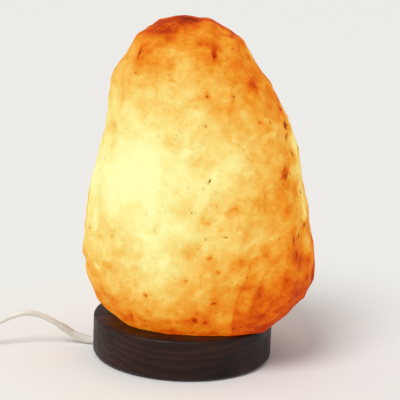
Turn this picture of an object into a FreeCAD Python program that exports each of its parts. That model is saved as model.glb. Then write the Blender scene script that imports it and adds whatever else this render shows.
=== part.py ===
"""Salt crystal lamp: a hewn salt rock on a round wooden base, lit by a small bulb from inside.

Millimetres. X points right, Y away from the viewer and Z up. The origin is the centre of the
base on the surface that the lamp stands on.
"""

import FreeCAD, Part
import math
import os
import re

import Sketcher

Vector = FreeCAD.Vector

# ---------------------------------------------------------------- driving dimensions

SIZES = {
    # base and its foot
    "base_radius": 65.0,
    "base_thickness": 28.4,
    "base_edge_round": 2.5,
    "pad_thickness": 1.2,
    "pad_outer_radius": 58.0,
    "pad_recess_margin": 12.0,
    "holder_hole_radius": 22.0,
    "recess_radius": 30.0,
    "recess_depth": 16.0,
    "groove_width": 8.0,
    "groove_depth": 6.4,
    "groove_angle": 172.8,
    # salt crystal: its farthest reaches from the base axis, and its height
    "crystal_height": 215.4,
    "crystal_left": 73.0,
    "crystal_right": 93.5,
    "crystal_front": 70.0,
    "crystal_back": 71.0,
    "hollow_radius": 50.0,
    "hollow_depth": 1.9,
    "bore_radius": 24.0,
    "bore_depth": 104.0,
    # screws and wall plugs that hold the crystal
    "anchor_recess_margin": 8.0,
    "anchor_radius": 4.0,
    "anchor_depth": 32.0,
    "anchor_length": 30.0,
    "screw_radius": 2.0,
    "screw_reach": 27.0,
    "screw_hole_radius": 2.4,
    "screw_head_radius": 4.2,
    "screw_head_height": 3.0,
    "counterbore_radius": 5.2,
    "counterbore_depth": 8.0,
    # lamp holder
    "plate_thickness": 1.2,
    "plate_gap": 0.5,
    "clip_thickness": 0.8,
    "clip_width": 12.0,
    "clip_half_length": 15.0,
    "clip_rise": 9.5,
    "nipple_radius": 5.0,
    "nipple_bore": 2.7,
    "nut_flats": 14.0,
    "nut_height": 3.2,
    "cap_radius": 13.0,
    "cap_wall": 1.6,
    "cap_floor": 2.0,
    "cap_height": 16.0,
    "insulator_thickness": 5.0,
    "terminal_size": 4.4,
    "terminal_height": 4.6,
    "terminal_offset": 5.6,
    "terminal_screw_radius": 1.2,
    "terminal_screw_length": 3.0,
    "shell_radius": 7.4,
    "shell_wall": 0.4,
    "shell_length": 23.0,
    "sleeve_length": 25.0,
    "contact_radius": 2.4,
    "contact_height": 2.6,
    # bulb
    "bulb_tip_height": 1.6,
    "bulb_insulator_height": 3.0,
    "bulb_insulator_radius": 4.6,
    "bulb_cap_radius": 6.9,
    "bulb_cap_wall": 0.4,
    "bulb_cap_length": 20.0,
    "bulb_neck_length": 10.0,
    "bulb_cone_length": 22.0,
    "bulb_glass_radius": 13.0,
    "bulb_straight": 5.0,
    "bulb_glass_wall": 0.8,
    "stem_radius": 2.0,
    "stem_length": 20.0,
    "lead_wire_radius": 0.35,
    "lead_wire_root": 1.0,
    "filament_half_span": 7.0,
    "filament_rise": 12.0,
    # mains cord
    "cord_radius": 2.1,
    "cord_clearance": 0.15,
    "wire_radius": 0.75,
    "inner_bend_radius": 8.8,
    "strain_sleeve_radius": 2.95,
    "strain_sleeve_tip_radius": 2.65,
    "clamp_length": 8.0,
    "clamp_width": 22.0,
    "clamp_thickness": 1.0,
    "clamp_screw_radius": 1.3,
    "clamp_screw_head": 2.4,
    "clamp_screw_depth": 8.0,
    # coil of the put-away length
    "coil_centre_x": -184.0,
    "coil_start_y": 60.0,
    "coil_outer_turn": 33.05,
    "coil_pitch": 4.65,
    "coil_half_turns": 7.0,
    "tie_thickness": 1.0,
    "tie_width": 6.0,
    "tie_gap": 0.15,
    "tie_slack": 1.1,
    # switch on the cord
    "switch_x": -264.0,
    "switch_y": 60.0,
    "switch_length": 62.0,
    "switch_width": 26.0,
    "switch_height": 17.0,
    "switch_split": 7.0,
    "switch_wall": 1.8,
    "switch_corner": 6.0,
    "switch_edge_round": 2.0,
    "window_length": 23.4,
    "rocker_length": 20.8,
    "rocker_width": 12.4,
    "rocker_gap": 0.3,
    "rocker_below": 3.0,
    "rocker_ends_above": 5.6,
    "rocker_middle_above": 4.4,
    "rocker_tilt": 8.0,
    "pivot_height": 12.5,
    "pin_radius": 1.0,
    "pin_clearance": 0.05,
    "switch_boss_radius": 3.0,
    "switch_boss_x": 19.0,
    "switch_boss_y": 7.6,
    "switch_screw_radius": 1.2,
    "switch_screw_head": 2.2,
    "switch_screw_length": 11.0,
    "switch_contact_x": 8.0,
    "switch_contact_radius": 1.8,
    "switch_contact_height": 1.7,
    "blade_thickness": 0.8,
    "blade_width": 5.0,
    "cord_clamp_length": 4.0,
    # plug
    "plug_x": -260.5,
    "plug_y": 3.0,
    "plug_body_length": 36.0,
    "plug_width": 35.3,
    "plug_neck_width": 17.0,
    "plug_height": 13.7,
    "plug_edge_round": 2.5,
    "plug_pin_radius": 2.0,
    "plug_pin_length": 19.0,
    "plug_pin_spacing": 18.6,
    "plug_pin_sleeve": 10.0,
    "plug_pin_core": 1.6,
    "plug_pin_root": 8.0,
    "plug_relief_length": 20.0,
    "plug_relief_radius": 4.4,
    "plug_relief_tip_radius": 2.9,
}

# The crystal, level by level: height as a share of the whole, then how far it reaches to the
# left, right, front and back as shares of its farthest reaches.
CRYSTAL_LEVELS = [
    (0.000, 0.60, 0.725, 0.74, 0.70),
    (0.035, 0.77, 0.81, 0.82, 0.79),
    (0.080, 0.88, 0.915, 0.90, 0.88),
    (0.145, 0.965, 0.995, 0.95, 0.94),
    (0.230, 1.00, 1.00, 0.99, 0.98),
    (0.350, 0.98, 0.935, 1.00, 1.00),
    (0.475, 0.925, 0.87, 0.96, 0.97),
    (0.605, 0.85, 0.80, 0.87, 0.89),
    (0.670, 0.815, 0.755, 0.82, 0.85),
    (0.745, 0.78, 0.645, 0.74, 0.77),
    (0.800, 0.77, 0.59, 0.685, 0.715),
    (0.850, 0.69, 0.49, 0.61, 0.64),
    (0.925, 0.54, 0.375, 0.45, 0.47),
    (0.975, 0.34, 0.20, 0.26, 0.30),
    (1.000, 0.14, -0.03, 0.10, 0.14),
]

# The crystal's corners in plan: direction in degrees and fullness against a plain oval.
CRYSTAL_CORNERS = [
    (0.0, 1.00), (25.0, 1.05), (48.0, 1.08), (69.0, 1.03),
    (90.0, 1.00), (113.0, 1.04), (137.0, 1.07), (160.0, 1.03),
    (180.0, 1.00), (204.0, 1.05), (226.0, 1.09), (248.0, 1.04),
    (270.0, 1.00), (293.0, 1.04), (317.0, 1.08), (338.0, 1.03),
]
HEWN_DEPTH = 0.022

# Broad hollows all over the crystal: how many directions are tried, how each turns from the last,
# how steep a direction is left to the cap, how far above its foot they start, how much their
# radii vary and from one to the next, and how deep one on the side is against one on the front.
HOLLOW_COUNT = 74
GOLDEN_ANGLE = 137.508
HOLLOW_TOP = 0.93
HOLLOW_FOOT_SHARE = 0.06
HOLLOW_VARIES = 0.3
HOLLOW_SWING = 2.3
SIDE_HOLLOW_SHARE = 0.5

# Routes of the cord where it is not coiled, point by point.
LEAD_ROUTE = [
    (-57.5, 7.26, 3.3),
    (-75.5, 9.54, 3.3),
    (-99.1, 2.4, 21.6),
    (-115.8, -2.0, 26.8),
    (-135.5, -5.7, 18.6),
    (-157.0, -10.0, 4.6),
    (-180.0, -15.0, 2.3),
    (-222.0, -20.5, 2.3),
    (-275.0, -21.0, 2.3),
    (-313.0, -15.0, 2.3),
    (-338.0, 5.0, 2.3),
    (-341.0, 31.0, 2.3),
    (-328.0, 52.0, 3.4),
    (-309.0, 60.0, 7.0),
    (-290.5, 60.0, 7.0),
]
LINK_ROUTE = [
    (-237.5, 60.0, 7.0),
    (-222.0, 60.0, 7.0),
    (-205.5, 60.0, 3.1),
    (-190.3, 60.0, 3.1),
]
TAIL_ROUTE = [
    (-190.3, -10.75, 7.75),
    (-202.0, -10.75, 7.75),
    (-215.5, -4.0, 7.2),
    (-228.5, 3.0, 6.85),
    (-240.5, 3.0, 6.85),
]
BEND_SHARE = 0.45
SLEEVE_RUN_SHARE = 0.62

doc = FreeCAD.newDocument("salt_crystal_lamp")
sheet = doc.addObject("Spreadsheet::Sheet", "Sizes")
PARTS = []


def fill_sheet():
    for row, (alias, number) in enumerate(SIZES.items(), start=1):
        sheet.set("A%d" % row, alias)
        sheet.set("B%d" % row, str(number))
        sheet.setAlias("B%d" % row, alias)
    doc.recompute()


def size(alias):
    return float(getattr(sheet, alias))


def cells(text):
    """The same expression with every size read from the sheet."""
    return re.sub(r"[a-z]\w*", lambda m: "Sizes." + m.group() if m.group() in SIZES else m.group(), text)


def bind(obj, **formulas):
    for name, text in formulas.items():
        obj.setExpression(name.replace("__", "."), cells(text))
    return obj


def place(obj, x="0", y="0", z="0"):
    return bind(obj, Placement__Base__x=x, Placement__Base__y=y, Placement__Base__z=z)


def turn(obj, axis, degrees):
    """Turn an object about an axis through its own corner."""
    obj.Placement = FreeCAD.Placement(obj.Placement.Base, FreeCAD.Rotation(axis, degrees))
    return obj


def keep(obj, label):
    obj.Label = label
    PARTS.append(obj)
    return obj


# ---------------------------------------------------------------- primitives and booleans

def cylinder(radius, height, x="0", y="0", z="0"):
    obj = doc.addObject("Part::Cylinder", "rod")
    bind(obj, Radius=radius, Height=height)
    return place(obj, x, y, z)


def cone(radius1, radius2, height, x="0", y="0", z="0"):
    obj = doc.addObject("Part::Cone", "cone")
    bind(obj, Radius1=radius1, Radius2=radius2, Height=height)
    return place(obj, x, y, z)


def box(length, width, height, x="0", y="0", z="0"):
    """A block whose x and y are its middle and whose z is its underside."""
    obj = doc.addObject("Part::Box", "block")
    bind(obj, Length=length, Width=width, Height=height)
    return place(obj, "%s - (%s) / 2" % (x, length), "%s - (%s) / 2" % (y, width), z)


def cut(base, *tools):
    for tool in tools:
        obj = doc.addObject("Part::Cut", "cut")
        obj.Base = base
        obj.Tool = tool
        base = obj
    return base


def fuse(*shapes):
    obj = doc.addObject("Part::MultiFuse", "join")
    obj.Shapes = list(shapes)
    return obj


def group(*shapes):
    obj = doc.addObject("Part::Compound", "set")
    obj.Links = list(shapes)
    return obj


def tube(radius, bore, height, z):
    return cut(cylinder(radius, height, z=z), cylinder(bore, height, z=z))


# ---------------------------------------------------------------- sketched bodies

def new_body(name):
    return doc.addObject("PartDesign::Body", name)


def plane(body, role):
    return next(feature for feature in body.Origin.OriginFeatures if feature.Role == role)


def sketch_on(body, name, role="XY_Plane", offset="0"):
    sketch = body.newObject("Sketcher::SketchObject", name)
    sketch.AttachmentSupport = [(plane(body, role), "")]
    sketch.MapMode = "FlatFace"
    bind(sketch, AttachmentOffset__Base__z=offset)
    return sketch


def circle(sketch, radius, x="0", y="0"):
    """A circle whose radius and middle are bound to the sheet."""
    index = sketch.addGeometry(Part.Circle(Vector(1, 1, 0), Vector(0, 0, 1), 1.0), False)
    for kind, text in (("DistanceX", x), ("DistanceY", y)):
        number = sketch.addConstraint(Sketcher.Constraint(kind, -1, 1, index, 3, 1.0))
        sketch.setExpression("Constraints[%d]" % number, cells(text))
    number = sketch.addConstraint(Sketcher.Constraint("Radius", index, 1.0))
    sketch.setExpression("Constraints[%d]" % number, cells(radius))
    return index


def outline(sketch, points):
    """A closed outline of straight lines through the points."""
    count = len(points)
    first = sketch.GeometryCount
    for index in range(count):
        start = Vector(*points[index], 0)
        end = Vector(*points[(index + 1) % count], 0)
        sketch.addGeometry(Part.LineSegment(start, end), False)
    for index in range(count):
        following = first + (index + 1) % count
        sketch.addConstraint(Sketcher.Constraint("Coincident", first + index, 2, following, 1))


def rounded_rectangle(sketch, half_x, half_y, corner):
    """A rectangle about the sketch's origin, with round corners."""
    centres = [(1, 1, 0), (-1, 1, 90), (-1, -1, 180), (1, -1, 270)]
    arcs = []
    for side_x, side_y, start in centres:
        middle = Vector(side_x * (half_x - corner), side_y * (half_y - corner), 0)
        ring = Part.Circle(middle, Vector(0, 0, 1), corner)
        arcs.append(Part.ArcOfCircle(ring, math.radians(start), math.radians(start + 90)))
    for index, arc in enumerate(arcs):
        sketch.addGeometry(arc, False)
        sketch.addGeometry(Part.LineSegment(arc.EndPoint, arcs[(index + 1) % 4].StartPoint), False)


def pad(body, sketch, length, midplane=False):
    feature = body.newObject("PartDesign::Pad", "Pad")
    feature.Profile = sketch
    feature.Midplane = midplane
    bind(feature, Length=length)
    doc.recompute()
    return feature


def pocket(body, sketch, length, upward=True, midplane=False):
    """A pocket that has to take material away."""
    before = body.Shape.Volume
    feature = body.newObject("PartDesign::Pocket", "Pocket")
    feature.Profile = sketch
    feature.Midplane = midplane
    feature.Reversed = upward and not midplane
    bind(feature, Length=length)
    doc.recompute()
    if not body.Shape.Volume < before:
        raise RuntimeError("a pocket in %s cuts nothing" % body.Name)
    return feature


def polar(body, feature, count):
    pattern = body.newObject("PartDesign::PolarPattern", "PolarPattern")
    pattern.Originals = [feature]
    pattern.Axis = (plane(body, "Z_Axis"), [""])
    pattern.Angle = 360
    pattern.Occurrences = count
    body.Tip = pattern
    doc.recompute()
    return pattern


def round_edges(body, radius, wanted):
    """Round the edges of a body that the test picks."""
    names = [
        "Edge%d" % number
        for number, edge in enumerate(body.Shape.Edges, start=1)
        if wanted(edge)
    ]
    base = body.Tip
    feature = body.newObject("PartDesign::Fillet", "Fillet")
    feature.Base = (base, names)
    bind(feature, Radius=radius)
    doc.recompute()
    return feature


# ---------------------------------------------------------------- routes and tubes

def biarc_path(points):
    """Straight runs joined by tangent arcs, each as large as its two runs allow."""
    points = [Vector(*point) for point in points]
    edges = []
    radii = []
    here = points[0]
    for before, corner, after in zip(points, points[1:], points[2:]):
        back = (before - corner).normalize()
        ahead = (after - corner).normalize()
        half_turn = (math.pi - back.getAngle(ahead)) / 2
        shorter = min((before - corner).Length, (after - corner).Length)
        tangent = BEND_SHARE * shorter
        radius = tangent / math.tan(half_turn)
        bisector = (back + ahead).normalize()
        middle = corner + bisector * (radius / math.cos(half_turn) - radius)
        start = corner + back * tangent
        end = corner + ahead * tangent
        edges.append(Part.LineSegment(here, start).toShape())
        edges.append(Part.Arc(start, middle, end).toShape())
        radii.append(round(radius, 1))
        here = end
    edges.append(Part.LineSegment(here, points[-1]).toShape())
    return Part.Wire(edges), radii


def ring_at(wire, radius, at_end=False):
    """A round profile square to one end of a path."""
    edge = wire.Edges[-1] if at_end else wire.Edges[0]
    parameter = edge.LastParameter if at_end else edge.FirstParameter
    centre = edge.valueAt(parameter)
    return Part.Wire([Part.makeCircle(radius, centre, edge.tangentAt(parameter))])


def swept(wire, *profiles):
    shell = Part.BRepOffsetAPI.MakePipeShell(wire)
    for profile in profiles:
        shell.add(profile)
    shell.build()
    shell.makeSolid()
    return Part.Solid(shell.shape()) if shell.shape().ShapeType != "Solid" else shell.shape()


def tube_along(label, wire, radius):
    """A round tube along a path, compared with its section times its length."""
    solid = swept(wire, ring_at(wire, radius))
    expected = math.pi * radius ** 2 * wire.Length
    print("%s: length %.1f, volume against section %.4f" % (label, wire.Length, solid.Volume / expected))
    return feature_of(label, solid)


def feature_of(label, shape):
    obj = doc.addObject("Part::Feature", label)
    obj.Shape = shape
    return keep(obj, label)


# ---------------------------------------------------------------- the crystal

def crystal_section(level, level_number):
    """The corners of the hewn crystal at one level."""
    _, left, right, front, back = level
    reach_left = left * size("crystal_left")
    reach_right = right * size("crystal_right")
    reach_front = front * size("crystal_front")
    reach_back = back * size("crystal_back")
    middle_x = (reach_right - reach_left) / 2
    middle_y = (reach_back - reach_front) / 2
    half_x = (reach_right + reach_left) / 2
    half_y = (reach_back + reach_front) / 2
    points = []
    for number, (degrees, fullness) in enumerate(CRYSTAL_CORNERS):
        direction = math.radians(degrees)
        on_side = degrees % 90 == 0
        hewn = 0.0 if on_side else HEWN_DEPTH * math.sin(2.4 * level_number + 1.9 * number)
        scale = fullness + hewn
        points.append((
            middle_x + half_x * scale * math.cos(direction),
            middle_y + half_y * scale * math.sin(direction),
        ))
    return points


def make_salt_crystal():
    body = new_body("SaltCrystal")
    sections = []
    for number, level in enumerate(CRYSTAL_LEVELS):
        height = "pad_thickness + base_thickness + %g * crystal_height" % level[0]
        sketch = sketch_on(body, "Level%d" % number, offset=height)
        outline(sketch, crystal_section(level, number))
        sections.append(sketch)
    doc.recompute()
    loft = body.newObject("PartDesign::AdditiveLoft", "HewnRock")
    loft.Profile = sections[0]
    loft.Sections = sections[1:]
    loft.Ruled = True
    doc.recompute()
    seat = "pad_thickness + base_thickness"
    bore = sketch_on(body, "BulbBore", offset=seat)
    circle(bore, "bore_radius")
    pocket(body, bore, "bore_depth")
    hole = sketch_on(body, "AnchorHole", offset=seat)
    circle(hole, "anchor_radius", *anchor_place(0))
    drilled = pocket(body, hole, "anchor_depth")
    polar(body, drilled, 3)
    doc.recompute()
    feature_of("salt_crystal", body.Shape.cut(hollow_balls(loft.Shape)))


def hollow_balls(rock):
    """Balls that cut the broad hollows of the hewn surface, spread evenly round its middle."""
    seat = size("pad_thickness") + size("base_thickness")
    lowest = seat + HOLLOW_FOOT_SHARE * size("crystal_height")
    heart = Vector(0, 0, seat + size("crystal_height") / 2)
    reach = size("crystal_height") + size("crystal_right")
    balls = []
    for number in range(HOLLOW_COUNT):
        rise = 1 - 2 * (number + 0.5) / HOLLOW_COUNT
        turned = math.radians(GOLDEN_ANGLE * number)
        level = math.sqrt(1 - rise * rise)
        outward = Vector(level * math.cos(turned), level * math.sin(turned), rise)
        ray = rock.common(Part.LineSegment(heart, heart + outward * reach).toShape())
        spot = max((vertex.Point for vertex in ray.Vertexes), key=lambda point: (point - heart).Length)
        if rise > HOLLOW_TOP or spot.z < lowest:
            continue
        _, _, contacts = rock.Shells[0].distToShape(Part.Vertex(spot))
        kind, face_number, place_on_face = contacts[0][:3]
        if kind != "Face":
            continue
        normal = rock.Shells[0].Faces[face_number].normalAt(*place_on_face)
        swing = math.sin(HOLLOW_SWING * number)
        radius = size("hollow_radius") * (1 + HOLLOW_VARIES * swing)
        depth = size("hollow_depth") * (SIDE_HOLLOW_SHARE + (1 - SIDE_HOLLOW_SHARE) * abs(normal.y))
        balls.append(Part.makeSphere(radius, spot + normal * (radius - depth)))
    print("salt_crystal: hollows", len(balls))
    return balls


def anchor_place(number):
    """Where a fixing screw stands: three of them, the first opposite the cord groove."""
    angle = "(groove_angle + 180 + %d)" % (120 * number)
    return (
        "(recess_radius + anchor_recess_margin) * cos(%s * 1deg)" % angle,
        "(recess_radius + anchor_recess_margin) * sin(%s * 1deg)" % angle,
    )


# ---------------------------------------------------------------- the base

def make_wooden_base():
    body = new_body("WoodenBase")
    disc = sketch_on(body, "Disc", offset="pad_thickness")
    circle(disc, "base_radius")
    pad(body, disc, "base_thickness")
    rim = size("base_radius")
    round_edges(body, "base_edge_round", lambda edge: abs(edge.Length - 2 * math.pi * rim) < 0.01)
    hole = sketch_on(body, "HolderHole", offset="pad_thickness")
    circle(hole, "holder_hole_radius")
    pocket(body, hole, "base_thickness")
    recess = sketch_on(body, "Recess", offset="pad_thickness")
    circle(recess, "recess_radius")
    pocket(body, recess, "recess_depth")
    counterbore = sketch_on(body, "Counterbore", offset="pad_thickness")
    circle(counterbore, "counterbore_radius", *anchor_place(0))
    polar(body, pocket(body, counterbore, "counterbore_depth"), 3)
    screw_hole = sketch_on(body, "ScrewHole", offset="pad_thickness")
    circle(screw_hole, "screw_hole_radius", *anchor_place(0))
    polar(body, pocket(body, screw_hole, "base_thickness"), 3)
    groove = sketch_on(body, "CordGroove", offset="pad_thickness")
    outline(groove, groove_outline())
    pocket(body, groove, "groove_depth")
    pilots = sketch_on(body, "ClampScrewHoles", offset="pad_thickness")
    for x, y in clamp_screw_places():
        circle(pilots, "clamp_screw_radius", x, y)
    pocket(body, pilots, "clamp_screw_depth")
    keep(body, "wooden_base")


def along_groove(distance, aside=0.0):
    """A point in plan, so far from the axis along the groove and so far beside it."""
    direction = math.radians(size("groove_angle"))
    return (
        distance * math.cos(direction) - aside * math.sin(direction),
        distance * math.sin(direction) + aside * math.cos(direction),
    )


def clamp_screw_places():
    """The two screws of the cord clamp, one each side of the groove."""
    middle = size("recess_radius") + size("pad_recess_margin") / 2
    aside = (size("groove_width") + size("clamp_width")) / 4
    return [
        ["%.6f" % number for number in along_groove(middle, side * aside)]
        for side in (-1, 1)
    ]


def groove_outline():
    half = size("groove_width") / 2
    inner = size("recess_radius") - half
    outer = size("base_radius") + half
    return [
        along_groove(inner, -half),
        along_groove(outer, -half),
        along_groove(outer, half),
        along_groove(inner, half),
    ]


def groove_block(length, width, height, distance, z):
    """A block laid along the groove, its middle so far from the axis."""
    obj = doc.addObject("Part::Box", "block")
    bind(obj, Length=length, Width=width, Height=height)
    turn(obj, Vector(0, 0, 1), size("groove_angle"))
    angle = "(groove_angle * 1deg)"
    start = "((%s) - (%s) / 2)" % (distance, length)
    aside = "((%s) / 2)" % width
    x = "%s * cos%s + %s * sin%s" % (start, angle, aside, angle)
    y = "%s * sin%s - %s * cos%s" % (start, angle, aside, angle)
    return place(obj, x, y, z)


def make_pad_ring():
    ring = tube("pad_outer_radius", "recess_radius + pad_recess_margin", "pad_thickness", "0")
    gap = groove_block("base_radius", "groove_width", "pad_thickness", "base_radius", "0")
    keep(cut(ring, gap), "base_pad_ring")


def make_crystal_fixings():
    screws = []
    anchors = []
    seat = "pad_thickness + base_thickness"
    head_seat = "pad_thickness + counterbore_depth"
    shank = "base_thickness - counterbore_depth + screw_reach"
    for number in range(3):
        x, y = anchor_place(number)
        head = cylinder("screw_head_radius", "screw_head_height", x, y, head_seat + " - screw_head_height")
        rod = cylinder("screw_radius", shank, x, y, head_seat)
        slot = box("screw_head_radius * 1.2", "0.9", "1.0", x, y, head_seat + " - screw_head_height")
        cross = box("0.9", "screw_head_radius * 1.2", "1.0", x, y, head_seat + " - screw_head_height")
        screws.append(cut(fuse(head, rod), slot, cross))
        outer = cylinder("anchor_radius", "anchor_length", x, y, seat)
        inner = cylinder("screw_radius", "anchor_length", x, y, seat)
        anchors.append(cut(outer, inner))
    keep(group(*screws), "crystal_screws")
    keep(group(*anchors), "crystal_wall_plugs")


# ---------------------------------------------------------------- the lamp holder

CEILING = "(pad_thickness + recess_depth)"
CLIP_TOP = CEILING + " + clip_thickness"
CAP_TOP = CLIP_TOP + " + cap_height"


def make_holder_mounting():
    disc = tube("recess_radius - plate_gap", "nipple_radius", "plate_thickness", CEILING + " - plate_thickness")
    keep(disc, "holder_plate")
    keep(make_spring_clip(), "holder_spring_clip")
    nipple_foot = CEILING + " - plate_thickness - nut_height"
    length = "nut_height + plate_thickness + clip_thickness + cap_floor"
    keep(tube("nipple_radius", "nipple_bore", length, nipple_foot), "holder_nipple")
    nut = doc.addObject("Part::Prism", "nut")
    nut.Polygon = 6
    bind(nut, Circumradius="nut_flats / 2 / cos(30deg)", Height="nut_height")
    place(nut, z=nipple_foot)
    keep(cut(nut, cylinder("nipple_radius", "nut_height", z=nipple_foot)), "holder_nut")


def make_spring_clip():
    """A bent strip on the plate whose two wings grip the hole in the base."""
    foot = size("pad_thickness") + size("recess_depth")
    thick = size("clip_thickness")
    half = size("clip_half_length")
    reach = size("holder_hole_radius") * math.cos(math.asin(size("clip_width") / 2 / size("holder_hole_radius")))
    rise = size("clip_rise")
    right = [
        (half, foot),
        (reach, foot + rise),
        (reach - thick, foot + rise + thick),
        (half - thick * 0.7, foot + thick),
    ]
    left = [(-x, z) for x, z in reversed(right)]
    body = new_body("SpringClip")
    strip = sketch_on(body, "Strip", "XZ_Plane")
    outline(strip, right + left)
    pad(body, strip, "clip_width", midplane=True)
    hole = sketch_on(body, "NippleHole", offset=CEILING)
    circle(hole, "nipple_radius")
    pocket(body, hole, "clip_thickness")
    return body


def make_holder():
    cup = cylinder("cap_radius", "cap_height", z=CLIP_TOP)
    inside = cylinder("cap_radius - cap_wall", "cap_height", z=CLIP_TOP + " + cap_floor")
    hole = cylinder("nipple_radius", "cap_floor", z=CLIP_TOP)
    keep(cut(cup, inside, hole), "holder_lower_cap")
    disc_foot = CAP_TOP + " - insulator_thickness"
    disc = cylinder("cap_radius - cap_wall", "insulator_thickness", z=disc_foot)
    keep(disc, "holder_insulator")
    blocks = []
    screws = []
    for side in (-1, 1):
        x = "%d * terminal_offset" % side
        foot = disc_foot + " - terminal_height"
        block = box("terminal_size", "terminal_size", "terminal_height", x, "0", foot)
        blocks.append(block)
        screw = cylinder("terminal_screw_radius", "terminal_screw_length")
        turn(screw, Vector(0, 1, 0), 90 * side)
        place(screw, "%d * (terminal_offset + terminal_size / 2)" % side, "0", foot + " + terminal_height / 2")
        screws.append(screw)
    keep(group(*blocks), "holder_terminals")
    keep(group(*screws), "terminal_screws")
    shell = tube("shell_radius", "shell_radius - shell_wall", "shell_length", CAP_TOP)
    keep(shell, "holder_screw_shell")
    keep(tube("cap_radius", "shell_radius", "sleeve_length", CAP_TOP), "holder_sleeve")
    contact = fuse(
        cylinder("contact_radius", "contact_height / 2", z=CAP_TOP),
        cylinder("contact_radius / 2", "contact_height", z=CAP_TOP),
    )
    keep(contact, "holder_centre_contact")


# ---------------------------------------------------------------- the bulb

BULB_FOOT = CAP_TOP + " + contact_height"
BULB_CAP_FOOT = BULB_FOOT + " + bulb_tip_height + bulb_insulator_height"
GLASS_FOOT = BULB_CAP_FOOT + " + bulb_cap_length - bulb_neck_length"


def make_bulb():
    keep(cone("contact_radius / 2", "contact_radius", "bulb_tip_height", z=BULB_FOOT), "bulb_contact")
    collar = cone(
        "bulb_insulator_radius", "bulb_cap_radius - bulb_cap_wall", "bulb_insulator_height",
        z=BULB_FOOT + " + bulb_tip_height",
    )
    keep(collar, "bulb_insulator")
    cap = tube("bulb_cap_radius", "bulb_cap_radius - bulb_cap_wall", "bulb_cap_length", BULB_CAP_FOOT)
    keep(cap, "bulb_cap")
    keep(make_bulb_glass(), "bulb_glass")
    wall = "(bulb_cap_radius - bulb_cap_wall - bulb_glass_wall)"
    stem = fuse(
        cylinder(wall, "1", z=GLASS_FOOT),
        cylinder("stem_radius", "stem_length", z=GLASS_FOOT),
    )
    keep(stem, "bulb_stem")
    make_filament()


def make_bulb_glass():
    """A small pear bulb: neck, cone, short barrel and round top, as one thin wall."""
    body = new_body("BulbGlass")
    profile = sketch_on(body, "Wall", "XZ_Plane")
    foot = glass_foot()
    neck = size("bulb_cap_radius") - size("bulb_cap_wall")
    wide = size("bulb_glass_radius")
    wall = size("bulb_glass_wall")
    neck_top = foot + size("bulb_neck_length")
    cone_top = neck_top + size("bulb_cone_length")
    barrel_top = cone_top + size("bulb_straight")
    up = Vector(0, 0, 1)
    outer = [(neck, foot), (neck, neck_top), (wide, cone_top), (wide, barrel_top)]
    inner = [(radius - wall, height) for radius, height in reversed(outer)]
    for chain in (outer, inner):
        for start, end in zip(chain, chain[1:]):
            profile.addGeometry(Part.LineSegment(Vector(*start, 0), Vector(*end, 0)), False)
    for radius in (wide, wide - wall):
        dome = Part.Circle(Vector(0, barrel_top, 0), up, radius)
        profile.addGeometry(Part.ArcOfCircle(dome, 0, math.pi / 2), False)
    crown = Part.LineSegment(Vector(0, barrel_top + wide - wall, 0), Vector(0, barrel_top + wide, 0))
    profile.addGeometry(crown, False)
    lip = Part.LineSegment(Vector(neck - wall, foot, 0), Vector(neck, foot, 0))
    profile.addGeometry(lip, False)
    doc.recompute()
    turned = body.newObject("PartDesign::Revolution", "Revolution")
    turned.Profile = profile
    turned.ReferenceAxis = (profile, ["V_Axis"])
    turned.Angle = 360
    doc.recompute()
    return body


def glass_foot():
    names = (
        "pad_thickness", "recess_depth", "clip_thickness", "cap_height", "contact_height",
        "bulb_tip_height", "bulb_insulator_height", "bulb_cap_length",
    )
    return sum(size(name) for name in names) - size("bulb_neck_length")


def make_filament():
    """Two lead wires rise from the stem and hold the filament between them."""
    stem_top = glass_foot() + size("stem_length")
    half_span = size("filament_half_span")
    top = stem_top + size("filament_rise")
    radius = size("lead_wire_radius")
    wires = []
    for side in (-1, 1):
        start = Vector(side * (size("stem_radius") - 2 * radius), 0, stem_top - size("lead_wire_root"))
        end = Vector(side * half_span, 0, top)
        wires.append(Part.makeCylinder(radius, (end - start).Length, start, end - start))
    feature_of("bulb_lead_wires", Part.makeCompound(wires))
    low = Vector(-half_span, 0, top + radius)
    high = Vector(0, 0, top + radius + half_span / 2)
    arc = Part.Wire([Part.Arc(low, high, Vector(half_span, 0, top + radius)).toShape()])
    feature_of("bulb_filament", swept(arc, ring_at(arc, radius)))


# ---------------------------------------------------------------- the mains cord

def inner_cord_path():
    """From inside the holder down through the nipple, and out along the groove."""
    end = Vector(*LEAD_ROUTE[0])
    top = Vector(0, 0, size("pad_thickness") + size("recess_depth") + size("clip_thickness") + size("cap_floor"))
    corner = Vector(0, 0, end.z)
    outward = (end - corner).normalize()
    bend = size("inner_bend_radius")
    start = corner + Vector(0, 0, bend)
    finish = corner + outward * bend
    middle = corner + (outward + Vector(0, 0, 1)) * bend * (1 - math.sqrt(0.5))
    return Part.Wire([
        Part.LineSegment(top, start).toShape(),
        Part.Arc(start, middle, finish).toShape(),
        Part.LineSegment(finish, end).toShape(),
    ]), top


def make_free_cord():
    radius = size("cord_radius")
    inner, top = inner_cord_path()
    tube_along("cord_inner_run", inner, radius)
    for label, route in (("cord_lead", LEAD_ROUTE), ("cord_link", LINK_ROUTE), ("cord_tail", TAIL_ROUTE)):
        path, radii = biarc_path(route)
        print(label, "bend radii", radii)
        tube_along(label, path, radius)
    make_strain_sleeve()
    make_wires(top)


def make_strain_sleeve():
    """A tapered sleeve over the first stretch of the cord."""
    near, far = Vector(*LEAD_ROUTE[1]), Vector(*LEAD_ROUTE[2])
    tip = near + (far - near) * SLEEVE_RUN_SHARE
    path, _ = biarc_path([LEAD_ROUTE[0], LEAD_ROUTE[1], tuple(tip)])
    outer = swept(
        path,
        ring_at(path, size("strain_sleeve_radius")),
        ring_at(path, size("strain_sleeve_tip_radius"), at_end=True),
    )
    bore = swept(path, ring_at(path, size("cord_radius")))
    feature_of("cord_sleeve", outer.cut(bore))


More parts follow.
